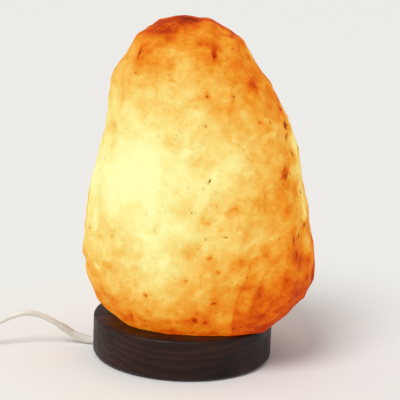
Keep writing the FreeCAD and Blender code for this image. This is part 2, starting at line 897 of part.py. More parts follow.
def make_wires(top):
    """The two insulated cores, from the end of the cord up to the terminals."""
    radius = size("wire_radius")
    cap_top = top.z - size("cap_floor") + size("cap_height")
    target = cap_top - size("insulator_thickness") - size("terminal_height")
    for side, label in ((-1, "live_wire"), (1, "neutral_wire")):
        start = Vector(side * radius * 1.3, 0, top.z)
        end = Vector(side * size("terminal_offset"), 0, target)
        bend_low = Vector(start.x, 0, top.z + (target - top.z) * 0.35)
        bend_high = Vector(end.x, 0, top.z + (target - top.z) * 0.65)
        path, _ = biarc_path([tuple(start), tuple(bend_low), tuple(bend_high), tuple(end)])
        tube_along(label, path, radius)


def make_cord_clamp():
    distance = "recess_radius + pad_recess_margin / 2"
    foot = "pad_thickness - clamp_thickness"
    plate = groove_block("clamp_length", "clamp_width", "clamp_thickness", distance, foot)
    screws = []
    for x, y in clamp_screw_places():
        plate = cut(plate, cylinder("clamp_screw_head", "clamp_thickness", x, y, foot))
        head = cylinder("clamp_screw_head", "clamp_thickness", x, y, foot)
        shank = cylinder("clamp_screw_radius", "clamp_screw_depth", x, y, foot + " + clamp_thickness")
        screws.append(fuse(head, shank))
    keep(plate, "cord_clamp")
    keep(group(*screws), "clamp_screws")


# ---------------------------------------------------------------- the coil

def climbing_half_turn(start, heading, end):
    """Two quarter arcs from start to end that leave along heading and arrive against it."""
    span = end - start
    reach = span.Length / 2
    crown = (start + end) / 2 + heading * reach
    arcs = []
    for first, corner, last in (
        (start, start + heading * reach, crown),
        (crown, end + heading * reach, end),
    ):
        chord_middle = (first + last) / 2
        turning = math.pi - (first - corner).getAngle(last - corner)
        half = turning / 2
        lift = math.cos(half) / (1 + math.cos(half))
        arcs.append(Part.Arc(first, chord_middle + (corner - chord_middle) * lift, last).toShape())
    return arcs


def coil_path():
    """Half turns that spiral in on the lower layer, climb, and spiral out on the upper one."""
    step = size("coil_pitch") / 2
    low = size("tie_thickness") + size("cord_radius")
    high = low + size("coil_pitch")
    outer = size("coil_outer_turn")
    count = int(size("coil_half_turns"))
    centre_x = size("coil_centre_x")
    straight = 3 * size("cord_radius")
    here = Vector(centre_x, size("coil_start_y"), low)
    edges = [Part.LineSegment(here - Vector(straight, 0, 0), here).toShape()]
    radii = [outer - step * number for number in range(count)]
    side = 1
    for radius in radii:
        there = here - Vector(0, side * 2 * radius, 0)
        edges.append(Part.Arc(here, (here + there) / 2 + Vector(side * radius, 0, 0), there).toShape())
        here = there
        side = -side
    inner = radii[-1] - step
    there = Vector(centre_x, here.y - side * 2 * inner, high)
    edges += climbing_half_turn(here, Vector(side, 0, 0), there)
    here = there
    side = -side
    for radius in reversed(radii):
        there = here - Vector(0, side * 2 * radius, 0)
        edges.append(Part.Arc(here, (here + there) / 2 + Vector(side * radius, 0, 0), there).toShape())
        here = there
        side = -side
    edges.append(Part.LineSegment(here, here + Vector(side * straight, 0, 0)).toShape())
    return Part.Wire(edges)


def least_gap(wire, radius, spacing=1.5):
    """The least distance between the tube and itself, measured on points along its path."""
    points = wire.discretize(Distance=spacing)
    apart = int(4 * math.pi * radius / spacing)
    nearest = min(
        points[i].distanceToPoint(points[j])
        for i in range(len(points))
        for j in range(i + apart, len(points))
    )
    return nearest - 2 * radius


def make_coil():
    path = coil_path()
    radius = size("cord_radius")
    tube_along("cord_coil", path, radius)
    print("cord_coil: least gap to itself %.2f" % least_gap(path, radius))
    print("cord_coil: from", path.Edges[0].Vertexes[0].Point, "to", path.Edges[-1].Vertexes[-1].Point)


def make_coil_tie():
    """A flat tie round the passes of the coil on its right-hand side."""
    across = "(coil_outer_turn - (coil_half_turns - 1) * coil_pitch / 2)"
    gap = "tie_gap"
    inner_x = "(coil_centre_x + %s - cord_radius - tie_slack)" % across
    outer_x = "(coil_centre_x + coil_outer_turn + cord_radius + %s)" % gap
    width = "(%s - %s)" % (outer_x, inner_x)
    middle = "((%s + %s) / 2)" % (outer_x, inner_x)
    y = "(coil_start_y - coil_outer_turn - coil_pitch / 2)"
    height = "(coil_pitch + 2 * cord_radius + %s)" % gap
    outer = box(width + " + 2 * tie_thickness", "tie_width", height + " + 2 * tie_thickness", middle, y, "0")
    inner = box(width, "tie_width", height, middle, y, "tie_thickness")
    keep(cut(outer, inner), "coil_tie")


# ---------------------------------------------------------------- the switch on the cord

def switch_screw_places():
    return [(1, -1), (-1, 1)]


def make_switch_shell(name, foot, height, floor_at_top):
    """One half of the switch housing, hollow, with two screw bosses and two cord holes."""
    body = new_body(name)
    place(body, "switch_x", "switch_y", "0")
    half_x = size("switch_length") / 2
    half_y = size("switch_width") / 2
    wall = size("switch_wall")
    corner = size("switch_corner")
    block = sketch_on(body, "Block", offset=foot)
    rounded_rectangle(block, half_x, half_y, corner)
    pad(body, block, height)
    flat = size("switch_height") if floor_at_top else 0.0
    round_edges(body, "switch_edge_round", lambda edge: all(
        abs(vertex.Point.z - flat) < 0.001 for vertex in edge.Vertexes))
    cavity_foot = foot if floor_at_top else foot + " + switch_wall"
    cavity = sketch_on(body, "Cavity", offset=cavity_foot)
    rounded_rectangle(cavity, half_x - wall, half_y - wall, corner - wall)
    for side_x, side_y in switch_screw_places():
        circle(cavity, "switch_boss_radius", "%d * switch_boss_x" % side_x, "%d * switch_boss_y" % side_y)
    pocket(body, cavity, height + " - switch_wall")
    holes = sketch_on(body, "CordHoles", "YZ_Plane")
    circle(holes, "cord_radius + cord_clearance", "0", "switch_split")
    pocket(body, holes, "switch_length", midplane=True)
    screw = sketch_on(body, "ScrewHoles", offset=foot)
    for side_x, side_y in switch_screw_places():
        circle(screw, "switch_screw_radius", "%d * switch_boss_x" % side_x, "%d * switch_boss_y" % side_y)
    depth = "switch_screw_length - switch_split + switch_wall" if floor_at_top else height
    pocket(body, screw, depth)
    return body


def make_switch_housing():
    lower = make_switch_shell("LowerShell", "0", "switch_split", False)
    heads = sketch_on(lower, "HeadSinks", offset="0")
    for side_x, side_y in switch_screw_places():
        circle(heads, "switch_screw_head", "%d * switch_boss_x" % side_x, "%d * switch_boss_y" % side_y)
    pocket(lower, heads, "switch_wall")
    keep(lower, "switch_lower_shell")
    upper = make_switch_shell("UpperShell", "switch_split", "switch_height - switch_split", True)
    window = sketch_on(upper, "Window", offset="switch_split")
    half_x = size("window_length") / 2
    half_y = size("rocker_width") / 2 + size("rocker_gap")
    outline(window, [(-half_x, -half_y), (half_x, -half_y), (half_x, half_y), (-half_x, half_y)])
    pocket(upper, window, "switch_height - switch_split")
    pin_hole = sketch_on(upper, "PinHole", "XZ_Plane")
    circle(pin_hole, "pin_radius", "0", "pivot_height")
    pocket(upper, pin_hole, "switch_width - switch_wall", midplane=True)
    keep(upper, "switch_upper_shell")


def make_rocker():
    """The rocker at rest, tilted so that its left end is pressed down."""
    body = new_body("Rocker")
    place(body, "switch_x", "switch_y", "pivot_height")
    half = size("rocker_length") / 2
    low = -size("rocker_below")
    high = size("rocker_ends_above")
    tilt = math.radians(size("rocker_tilt"))
    level = [(-half, low), (half, low), (half, high), (0, size("rocker_middle_above")), (-half, high)]
    tilted = [
        (x * math.cos(tilt) - z * math.sin(tilt), x * math.sin(tilt) + z * math.cos(tilt))
        for x, z in level
    ]
    side = sketch_on(body, "Side", "XZ_Plane")
    outline(side, tilted)
    circle(side, "pin_radius + pin_clearance")
    pad(body, side, "rocker_width", midplane=True)
    keep(body, "switch_rocker")


def at_switch(x, y="0"):
    return "switch_x + %s" % x, "switch_y + %s" % y


def make_switch_inside():
    pin_half = "((switch_width - switch_wall) / 2)"
    pin = cylinder("pin_radius", "2 * " + pin_half)
    turn(pin, Vector(1, 0, 0), -90)
    place(pin, "switch_x", "switch_y - " + pin_half, "pivot_height")
    keep(pin, "switch_pivot_pin")
    posts = []
    conductors = []
    clamps = []
    clamp_middle = "(switch_length / 2 - 4.5 - cord_clamp_length / 2)"
    for side in (-1, 1):
        x, y = at_switch("%d * switch_contact_x" % side)
        posts.append(cylinder("switch_contact_radius", "switch_contact_height", x, y, "switch_wall"))
        x, y = at_switch("%d * %s" % (side, clamp_middle))
        clamps.append(box("cord_clamp_length", "8", "switch_height - 2 * switch_wall", x, y, "switch_wall"))
        length = "(%s - cord_clamp_length / 2 - switch_contact_x - switch_contact_radius)" % clamp_middle
        core = cylinder("wire_radius", length)
        turn(core, Vector(0, 1, 0), 90)
        start = "(switch_contact_x + switch_contact_radius)"
        if side < 0:
            start = "(-(%s) - %s)" % (start, length)
        place(core, "switch_x + " + start, "switch_y", "switch_wall + switch_contact_height / 2")
        conductors.append(core)
    keep(group(*posts), "switch_contacts")
    keep(group(*clamps), "switch_cord_clamps")
    length = "(2 * (%s - cord_clamp_length / 2))" % clamp_middle
    through = cylinder("wire_radius", length)
    turn(through, Vector(0, 1, 0), 90)
    place(through, "switch_x - %s / 2" % length, "switch_y + 3.6", "switch_split - 1")
    keep(group(through, *conductors), "switch_conductors")
    blade_foot = "switch_wall + switch_contact_height"
    span = "2 * (switch_contact_x + switch_contact_radius)"
    keep(box(span, "blade_width", "blade_thickness", "switch_x", "switch_y", blade_foot), "switch_contact_blade")
    screws = []
    for side_x, side_y in switch_screw_places():
        x, y = at_switch("%d * switch_boss_x" % side_x, "%d * switch_boss_y" % side_y)
        head = cylinder("switch_screw_head", "switch_wall - 0.3", x, y, "0.3")
        rod = cylinder("switch_screw_radius", "switch_screw_length", x, y, "switch_wall")
        screws.append(fuse(head, rod))
    keep(group(*screws), "switch_screws")


# ---------------------------------------------------------------- the plug

def make_plug():
    body = new_body("PlugBody")
    place(body, "plug_x", "plug_y", "0")
    length = size("plug_body_length")
    half = size("plug_width") / 2
    neck = size("plug_neck_width") / 2
    shape = sketch_on(body, "Outline")
    outline(shape, [
        (0, -neck), (0, neck), (-0.45 * length, half), (-length, half), (-length, -half),
        (-0.45 * length, -half),
    ])
    pad(body, shape, "plug_height")
    round_edges(body, "plug_edge_round", lambda edge: abs(edge.BoundBox.ZLength) < 0.001 and edge.BoundBox.YLength < 2 * half - 1)
    sockets = sketch_on(body, "PinSockets", "YZ_Plane", "-plug_body_length")
    for side in (-1, 1):
        circle(sockets, "plug_pin_core", "%d * plug_pin_spacing / 2" % side, "plug_height / 2")
    pocket(body, sockets, "plug_pin_root")
    keep(body, "plug_body")
    pins = []
    jackets = []
    face = "plug_x - plug_body_length"
    for side in (-1, 1):
        y = "plug_y + %d * plug_pin_spacing / 2" % side
        z = "plug_height / 2"
        reach = "(plug_pin_length - plug_pin_sleeve)"
        bare = lying("plug_pin_radius", reach, face + " - plug_pin_length", y, z)
        core = lying("plug_pin_core", "plug_pin_sleeve", face + " - plug_pin_sleeve", y, z)
        root = lying("plug_pin_core", "plug_pin_root", face, y, z)
        pins.append(fuse(bare, core, root))
        jacket = lying("plug_pin_radius", "plug_pin_sleeve", face + " - plug_pin_sleeve", y, z)
        hole = lying("plug_pin_core", "plug_pin_sleeve", face + " - plug_pin_sleeve", y, z)
        jackets.append(cut(jacket, hole))
    keep(group(*pins), "plug_pins")
    keep(group(*jackets), "plug_pin_sleeves")
    relief = cone("plug_relief_radius", "plug_relief_tip_radius", "plug_relief_length")
    turn(relief, Vector(0, 1, 0), 90)
    place(relief, "plug_x", "plug_y", "plug_height / 2")
    keep(relief, "plug_strain_relief")


def lying(radius, length, x, y, z):
    """A rod along X that starts at x."""
    obj = cylinder(radius, length)
    turn(obj, Vector(0, 1, 0), 90)
    return place(obj, x, y, z)


# ---------------------------------------------------------------- build, check, write

def check_document():
    doc.recompute()
    for obj in doc.Objects:
        if "Invalid" in obj.State or "Error" in obj.State:
            raise RuntimeError("%s failed: %s" % (obj.Label, obj.State))
    for obj in PARTS:
        if obj.Shape.isNull() or not obj.Shape.isValid() or not obj.Shape.Solids:
            raise RuntimeError("%s has no sound solid" % obj.Label)


def write_parts():
    os.makedirs("parts", exist_ok=True)
    for obj in PARTS:
        obj.Shape.exportStep("parts/%s.step" % obj.Label)
        print("%-24s solids %d  volume %.0f" % (obj.Label, len(obj.Shape.Solids), obj.Shape.Volume))


fill_sheet()
make_salt_crystal()
make_wooden_base()
make_pad_ring()
make_crystal_fixings()
make_holder_mounting()
make_holder()
make_bulb()
make_free_cord()
make_cord_clamp()
make_coil()
make_coil_tie()
make_switch_housing()
make_rocker()
make_switch_inside()
make_plug()
check_document()
write_parts()
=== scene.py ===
"""Looks of the salt crystal lamp, built round its packed construction. Metres, Z up."""

import math

import bpy
import numpy as np
from mathutils import Matrix, Vector, noise


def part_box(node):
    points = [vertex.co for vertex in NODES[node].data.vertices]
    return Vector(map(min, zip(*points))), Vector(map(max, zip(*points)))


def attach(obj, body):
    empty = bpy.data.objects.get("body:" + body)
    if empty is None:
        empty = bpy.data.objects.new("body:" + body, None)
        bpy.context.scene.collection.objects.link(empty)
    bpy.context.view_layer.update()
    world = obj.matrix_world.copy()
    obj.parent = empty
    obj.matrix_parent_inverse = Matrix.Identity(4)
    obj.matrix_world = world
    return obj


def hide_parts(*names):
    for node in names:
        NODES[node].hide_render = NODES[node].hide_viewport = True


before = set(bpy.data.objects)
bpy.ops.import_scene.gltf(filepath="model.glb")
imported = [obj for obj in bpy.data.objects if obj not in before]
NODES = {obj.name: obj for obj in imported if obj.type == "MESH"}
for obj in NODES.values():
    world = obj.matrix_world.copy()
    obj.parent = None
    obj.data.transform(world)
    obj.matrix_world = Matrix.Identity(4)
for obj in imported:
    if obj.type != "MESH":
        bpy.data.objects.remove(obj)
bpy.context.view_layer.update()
MM = 0.001
SEED = 20418


def millimetres(*points):
    return [tuple(value * MM for value in point) for point in points]


# ---------------------------------------------------------------- camera

LENS = 108.0
SENSOR = 36.0
CAMERA_AT = (0.0091, -0.8407, 0.2943)
CAMERA_PITCH = math.radians(12.08)
CAMERA_ROLL = math.radians(2.28)


def make_camera():
    data = bpy.data.cameras.new("camera")
    data.lens = LENS
    data.sensor_width = SENSOR
    right = Vector((1, 0, 0))
    forward = Vector((0, math.cos(CAMERA_PITCH), -math.sin(CAMERA_PITCH)))
    up = Vector((0, math.sin(CAMERA_PITCH), math.cos(CAMERA_PITCH)))
    across = right * math.cos(CAMERA_ROLL) + up * math.sin(CAMERA_ROLL)
    upward = up * math.cos(CAMERA_ROLL) - right * math.sin(CAMERA_ROLL)
    matrix = Matrix((across, upward, -forward)).transposed().to_4x4()
    matrix.translation = CAMERA_AT
    camera = bpy.data.objects.new("camera", data)
    bpy.context.scene.collection.objects.link(camera)
    camera.matrix_world = matrix
    bpy.context.scene.camera = camera


make_camera()

# ---------------------------------------------------------------- node materials

SOIL = 0.93
FLOW_MARK = 14 * MM
GLOSS_PATCH = 3 * MM
MOULD_WAVE = 5 * MM
TARNISH = 0.7
TARNISH_PATCH = 4 * MM
DRAWN_MARK = 0.35 * MM
DRAWN_DEPTH = 0.015 * MM
WOOD_RINGS = {"Scale": 62.0, "Distortion": 7.0, "Detail": 3.5, "Detail Scale": 1.1, "Detail Roughness": 0.65}
WOOD_DARK = (0.023, 0.0066, 0.0036)
WOOD_MIDDLE = (0.033, 0.0094, 0.0046)
WOOD_PALE = (0.046, 0.0132, 0.0064)
WOOD_CLOUD = (0.048, 0.014, 0.0070)
WOOD_PORE = (0.008, 0.0035, 0.0025)
FELT_DARK = (0.012, 0.012, 0.013)
FELT_MIDDLE = (0.03, 0.029, 0.030)
FELT_PALE = (0.07, 0.068, 0.066)
GLASS_CLEAR = (0.97, 0.98, 0.97)
GLASS_DUSTY = (0.90, 0.90, 0.87)
GLASS_BEND = 1.5
HEAT_ORANGE = (1.0, 0.52, 0.16)
HEAT_WHITE = (1.0, 0.74, 0.40)
TUNGSTEN = (0.35, 0.33, 0.30)


class Finish:
    """A procedural material, put together node by node round one shader."""

    def __init__(self, name):
        self.material = bpy.data.materials.new(name)
        self.material.use_nodes = True
        self.tree = self.material.node_tree
        self.shader = self.tree.nodes["Principled BSDF"]
        self.place = self.node("ShaderNodeTexCoord").outputs["Object"]

    def node(self, kind, inputs=(), **settings):
        made = self.tree.nodes.new(kind)
        for key, value in settings.items():
            setattr(made, key, value)
        for key, value in dict(inputs).items():
            self.feed(made.inputs[key], value)
        return made

    def feed(self, socket, value):
        if isinstance(value, bpy.types.NodeSocket):
            self.tree.links.new(value, socket)
        else:
            socket.default_value = value

    def surface(self, **values):
        """Sets the shader's own sockets, with _ for each space in a name."""
        for key, value in values.items():
            socket = self.shader.inputs[key.replace("_", " ")]
            if socket.type == "RGBA" and isinstance(value, tuple):
                value = (*value, 1.0)
            self.feed(socket, value)

    def stretched(self, stretch, shift=(0, 0, 0)):
        inputs = {"Vector": self.place, "Scale": stretch, "Location": shift}
        return self.node("ShaderNodeMapping", inputs).outputs["Vector"]

    def noise(self, size, stretch=(1, 1, 1), detail=3.0, roughness=0.55, warp=0.0, shift=(0, 0, 0)):
        """Noise from 0 to 1 whose lumps are about this size."""
        inputs = {
            "Vector": self.stretched(stretch, shift),
            "Scale": 1 / size,
            "Detail": detail,
            "Roughness": roughness,
            "Distortion": warp,
        }
        return self.node("ShaderNodeTexNoise", inputs).outputs["Fac"]

    def patches(self, size, ragged, shift=(0, 0, 0)):
        """Irregular patches about this size with ragged borders, each with a level from 0 to 1."""
        drift_inputs = {"Vector": self.place, "Scale": 1.6 / size, "Detail": 4.0, "Roughness": 0.62}
        drift = self.node("ShaderNodeTexNoise", drift_inputs).outputs["Color"]
        moved = self.node(
            "ShaderNodeVectorMath",
            {0: drift, 1: (ragged, ragged, ragged), 2: self.stretched((1, 1, 1), shift)},
            operation="MULTIPLY_ADD",
        )
        cell_inputs = {"Vector": moved.outputs["Vector"], "Scale": 1 / size}
        cell = self.node("ShaderNodeTexVoronoi", cell_inputs).outputs["Color"]
        return self.node("ShaderNodeSeparateColor", {"Color": cell}).outputs["Red"]

    def attribute(self, name):
        return self.node("ShaderNodeAttribute", attribute_name=name).outputs["Fac"]

    def math(self, operation, first, second=0.0, third=0.0):
        made = self.node("ShaderNodeMath", operation=operation)
        for socket, value in zip(made.inputs, (first, second, third)):
            self.feed(socket, value)
        return made.outputs[0]

    def span(self, value, low, high, start=0.0, end=1.0, smooth=False):
        """value carried from low..high to start..end, and held there."""
        made = self.node("ShaderNodeMapRange", clamp=True)
        if smooth:
            made.interpolation_type = "SMOOTHSTEP"
        ends = {"Value": value, "From Min": low, "From Max": high, "To Min": start, "To Max": end}
        for key, number in ends.items():
            self.feed(made.inputs[key], number)
        return made.outputs[0]

    def ramp(self, value, stops, smooth=True):
        made = self.node("ShaderNodeValToRGB", {"Fac": value})
        elements = made.color_ramp.elements
        made.color_ramp.interpolation = "EASE" if smooth else "LINEAR"
        while len(elements) < len(stops):
            elements.new(0.5)
        for element, (place, colour) in zip(elements, stops):
            element.position = place
            element.color = (*colour, 1.0)
        return made.outputs["Color"]

    def mix(self, share, first, second, blend="MIX"):
        made = self.node("ShaderNodeMix", data_type="RGBA", blend_type=blend)
        share_socket, first_colour, second_colour = 0, 6, 7
        for index, value in ((share_socket, share), (first_colour, first), (second_colour, second)):
            if isinstance(value, tuple):
                value = (*value, 1.0)
            self.feed(made.inputs[index], value)
        mixed_colour = 2
        return made.outputs[mixed_colour]

    def bump(self, *layers):
        """Bump layers, each a height and the depth of its full range in metres."""
        normal = None
        for height, depth in layers:
            inputs = {"Height": height, "Distance": depth, "Strength": 1.0}
            made = self.node("ShaderNodeBump", inputs)
            if normal is not None:
                self.feed(made.inputs["Normal"], normal)
            normal = made.outputs["Normal"]
        self.feed(self.shader.inputs["Normal"], normal)


def shade(colour, factor):
    return tuple(min(channel * factor, 1.0) for channel in colour)


def moulded(name, colour, roughness, grain=0.5 * MM, depth=0.03 * MM):
    """Moulded plastic or rubber: spark-eroded grain, faint flow marks and a little handling soil."""
    finish = Finish(name)
    flow = finish.noise(FLOW_MARK, warp=0.2, roughness=0.4)
    speck = finish.noise(grain, detail=2.0)
    tint = finish.ramp(flow, [(0.3, shade(colour, SOIL)), (0.62, colour), (0.9, shade(colour, 1.03))])
    finish.surface(
        Base_Color=finish.mix(finish.span(speck, 0.35, 0.75, 0.0, 0.07), tint, shade(colour, 0.8)),
        Roughness=finish.span(finish.noise(GLOSS_PATCH), 0.2, 0.8, roughness - 0.07, roughness + 0.09),
    )
    finish.bump((speck, depth), (finish.noise(MOULD_WAVE), depth))
    return finish.material


def metal(name, colour, roughness, along):
    """Drawn or plated metal: fine drawing marks and uneven tarnish."""
    finish = Finish(name)
    marks = finish.noise(DRAWN_MARK, stretch=along, detail=2.0)
    dull = finish.noise(TARNISH_PATCH, warp=1.0)
    finish.surface(
        Base_Color=finish.ramp(dull, [(0.35, shade(colour, TARNISH)), (0.65, colour)]),
        Metallic=1.0,
        Roughness=finish.span(marks, 0.25, 0.75, roughness - 0.06, roughness + 0.12),
    )
    finish.bump((marks, DRAWN_DEPTH))
    return finish.material


def stained_wood():
    """Dark stained and waxed hardwood, the grain running from side to side."""
    finish = Finish("stained_wood")
    warped = finish.noise(30 * MM, stretch=(0.25, 1, 1), detail=2.0)
    ring_inputs = {"Vector": finish.stretched((0.12, 1, 1), (0, 0.03, 0.06)), **WOOD_RINGS}
    wave = finish.node("ShaderNodeTexWave", ring_inputs, wave_type="RINGS", rings_direction="X")
    rings = wave.outputs["Fac"]
    pores = finish.noise(0.5 * MM, stretch=(0.05, 1, 1), detail=4.0, roughness=0.7)
    open_pore = finish.span(pores, 0.56, 0.70, 0.0, 1.0, smooth=True)
    grain = finish.ramp(rings, [(0.0, WOOD_DARK), (0.55, WOOD_MIDDLE), (1.0, WOOD_PALE)])
    cloud = finish.mix(finish.span(warped, 0.3, 0.7), grain, WOOD_CLOUD, "OVERLAY")
    finish.surface(
        Base_Color=finish.mix(finish.math("MULTIPLY", open_pore, 0.8), cloud, WOOD_PORE),
        Roughness=finish.span(finish.noise(9 * MM, detail=5.0), 0.3, 0.7, 0.42, 0.60),
        Specular_IOR_Level=0.22,
        Coat_Weight=0.04,
        Coat_Roughness=0.30,
    )
    finish.bump((open_pore, -0.07 * MM), (rings, 0.05 * MM), (finish.noise(1.6 * MM), 0.05 * MM))
    return finish.material


def felt():
    """Pressed dark felt with short loose fibres."""
    finish = Finish("pressed_felt")
    fibres = finish.noise(0.45 * MM, stretch=(1, 1, 0.4), detail=5.0, roughness=0.75, warp=1.5)
    tone = finish.ramp(fibres, [(0.3, FELT_DARK), (0.6, FELT_MIDDLE), (0.85, FELT_PALE)])
    finish.surface(Base_Color=tone, Roughness=0.96, Sheen_Weight=0.35, Sheen_Roughness=0.6)
    finish.bump((fibres, 0.25 * MM))
    return finish.material


def clear_glass(name, roughness):
    """Blown glass with faint draw lines and a breath of dust."""
    finish = Finish(name)
    lines = finish.noise(2.5 * MM, stretch=(1, 1, 0.2))
    dust = finish.noise(0.6 * MM, detail=4.0)
    finish.surface(
        Base_Color=finish.ramp(dust, [(0.45, GLASS_CLEAR), (0.8, GLASS_DUSTY)]),
        Transmission_Weight=1.0,
        IOR=GLASS_BEND,
        Roughness=finish.span(dust, 0.5, 0.8, roughness, roughness + 0.12),
    )
    finish.bump((lines, 0.04 * MM))
    return finish.material


def hot_tungsten():
    """The glowing wire, hotter in some turns than in others."""
    finish = Finish("hot_tungsten")
    heat = finish.ramp(finish.noise(0.8 * MM), [(0.3, HEAT_ORANGE), (0.7, HEAT_WHITE)])
    finish.surface(
        Base_Color=TUNGSTEN,
        Metallic=1.0,
        Roughness=0.45,
        Emission_Color=heat,
        Emission_Strength=2.0,
    )
    finish.bump((finish.noise(0.2 * MM), 0.01 * MM))
    return finish.material


# ---------------------------------------------------------------- cords

WHITE = (0.80, 0.785, 0.735)
CORD_WHITE = (0.80, 0.775, 0.70)
CORD_GLOSS = 0.44
RELIEF_GROOVES = 6
RELIEF_GROOVE_WIDTH = 1.3 * MM
RELIEF_GROOVE_DEPTH = 0.6 * MM
RELIEF_MARGIN = 2.2 * MM
RELIEF_ROOT, RELIEF_TIP = 4.4 * MM, 2.9 * MM
RELIEF_EDGE = 0.25 * MM
RELIEF_END_CUT = 0.6
AROUND = 48


def relief_profile(length):
    """Places along the bend relief and its radius there, with a ring groove at even steps."""
    cuts = [(0.0, 0.0)]
    step = (length - 2 * RELIEF_MARGIN) / RELIEF_GROOVES
    for number in range(RELIEF_GROOVES):
        start = RELIEF_MARGIN + (number + 0.5) * step - RELIEF_GROOVE_WIDTH / 2
        end = start + RELIEF_GROOVE_WIDTH
        cuts += [(start - RELIEF_EDGE, 0.0), (start + RELIEF_EDGE, 1.0), (end - RELIEF_EDGE, 1.0),
                 (end + RELIEF_EDGE, 0.0)]
    cuts += [(length - 2 * RELIEF_EDGE, 0.0), (length, RELIEF_END_CUT)]
    taper = (RELIEF_TIP - RELIEF_ROOT) / length
    return [(along, RELIEF_ROOT + taper * along - cut * RELIEF_GROOVE_DEPTH) for along, cut in cuts]


def make_bend_relief():
    """The soft grooved sleeve by which the cord leaves the plug, turned about the cord."""
    low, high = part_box("plug_strain_relief")
    middle = (low + high) / 2
    profile = relief_profile(high.x - low.x)
    points, faces = [], []
    for along, radius in profile:
        for number in range(AROUND):
            angle = 2 * math.pi * number / AROUND
            off_y, off_z = radius * math.cos(angle), radius * math.sin(angle)
            points.append((low.x + along, middle.y + off_y, middle.z + off_z))
    for ring in range(0, len(points) - AROUND, AROUND):
        for number in range(AROUND):
            here, after = ring + number, ring + (number + 1) % AROUND
            faces.append((here, after, after + AROUND, here + AROUND))
    faces.append(tuple(reversed(range(AROUND))))
    faces.append(tuple(range(len(points) - AROUND, len(points))))
    mesh = bpy.data.meshes.new("bend_relief")
    mesh.from_pydata(points, [], faces)
    mesh.materials.append(moulded("relief_plastic", WHITE, 0.45))
    piece = bpy.data.objects.new("bend_relief", mesh)
    bpy.context.scene.collection.objects.link(piece)
    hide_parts("plug_strain_relief")
    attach(piece, "lamp")
    return piece


CORD = 4.2 * MM
CORD_ROUNDNESS = 6
CORD_STEPS = 10
CORD_ORDER = 3
LEAD_ROUTE = millimetres(
    (-57.5, 7.26, 3.3), (-75.5, 9.54, 3.3), (-99.1, 2.4, 21.6), (-115.8, -2.0, 26.8),
    (-135.5, -5.7, 18.6), (-157.0, -10.0, 4.6), (-180.0, -15.0, 2.3), (-222.0, -20.5, 2.3),
    (-275.0, -21.0, 2.3), (-313.0, -15.0, 2.3), (-338.0, 5.0, 2.3), (-341.0, 31.0, 2.3),
    (-328.0, 52.0, 3.4), (-309.0, 60.0, 7.0), (-290.5, 60.0, 7.0),
)
LINK_ROUTE = millimetres((-237.5, 60.0, 7.0), (-222.0, 60.0, 7.0), (-205.5, 60.0, 3.1), (-190.3, 60.0, 3.1))
TAIL_ROUTE = millimetres(
    (-190.3, -10.75, 7.75), (-202.0, -10.75, 7.75), (-215.5, -4.0, 7.2), (-228.5, 3.0, 6.85),
    (-240.5, 3.0, 6.85),
)
COIL_X = -184.0 * MM
COIL_START_Y = 60.0 * MM
COIL_OUTER = 33.05 * MM
COIL_PITCH = 4.65 * MM
COIL_HALF_TURNS = 7
COIL_LOW = 3.1 * MM
POINTS_PER_HALF_TURN = 8


def half_turn(start, side, radius, climb=0.0):
    """Control points of one half turn that leaves start sideways, and the place where it comes back."""
    spread = 1 / math.cos(math.pi / (2 * POINTS_PER_HALF_TURN))
    centre = Vector((start.x, start.y - side_sign(side) * radius, start.z))
    points = []
    for step in range(POINTS_PER_HALF_TURN):
        angle = math.pi * (step + 0.5) / POINTS_PER_HALF_TURN
        points.append(Vector((
            centre.x + side * radius * spread * math.sin(angle),
            centre.y + side_sign(side) * radius * spread * math.cos(angle),
            start.z + climb * (1 - math.cos(angle)) / 2,
        )))
    end = Vector((start.x, start.y - side_sign(side) * 2 * radius, start.z + climb))
    return points, end


def side_sign(side):
    """A half turn on the right goes down the plan, and one on the left goes up it."""
    return 1 if side > 0 else -1


def coil_points():
    """Control points of the coil: inwards on the table, up one layer, and outwards again."""
    step = COIL_PITCH / 2
    radii = [COIL_OUTER - step * number for number in range(COIL_HALF_TURNS)]
    here = Vector((COIL_X, COIL_START_Y, COIL_LOW))
    points = []
    side = 1
    turns = [(radius, 0.0) for radius in radii]
    turns += [(radii[-1] - step, COIL_PITCH)]
    turns += [(radius, 0.0) for radius in reversed(radii)]
    for radius, climb in turns:
        bend, here = half_turn(here, side, radius, climb)
        points += bend
        side = -side
    return [tuple(point) for point in points]


def cord_curve(name, points, material):
    """One round cord along its control points."""
    data = bpy.data.curves.new(name, "CURVE")
    data.dimensions = "3D"
    data.bevel_depth = CORD / 2
    data.bevel_resolution = CORD_ROUNDNESS
    data.resolution_u = CORD_STEPS
    data.use_fill_caps = True
    spline = data.splines.new("NURBS")
    spline.points.add(len(points) - 1)
    for target, point in zip(spline.points, points):
        target.co = (*point, 1.0)
    spline.order_u = CORD_ORDER
    spline.use_endpoint_u = True
    data.materials.append(material)
    piece = bpy.data.objects.new(name, data)
    bpy.context.scene.collection.objects.link(piece)
    return piece


def make_cords():
    sheath = moulded("cord_sheath", CORD_WHITE, CORD_GLOSS, grain=0.9 * MM, depth=0.02 * MM)
    lead = cord_curve("mains_lead", LEAD_ROUTE, sheath)
    supply = cord_curve("mains_supply", LINK_ROUTE + coil_points() + TAIL_ROUTE, sheath)
    for piece in (lead, supply):
        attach(piece, "lamp")
    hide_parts("cord_lead")
    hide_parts("cord_link", "cord_coil", "cord_tail")
    on_supply = ["plug_body", "plug_pins", "plug_pin_sleeves", "coil_tie"]
    [NODES[name] for name in on_supply] + [make_bend_relief()]


make_cords()

# ---------------------------------------------------------------- the salt crystal

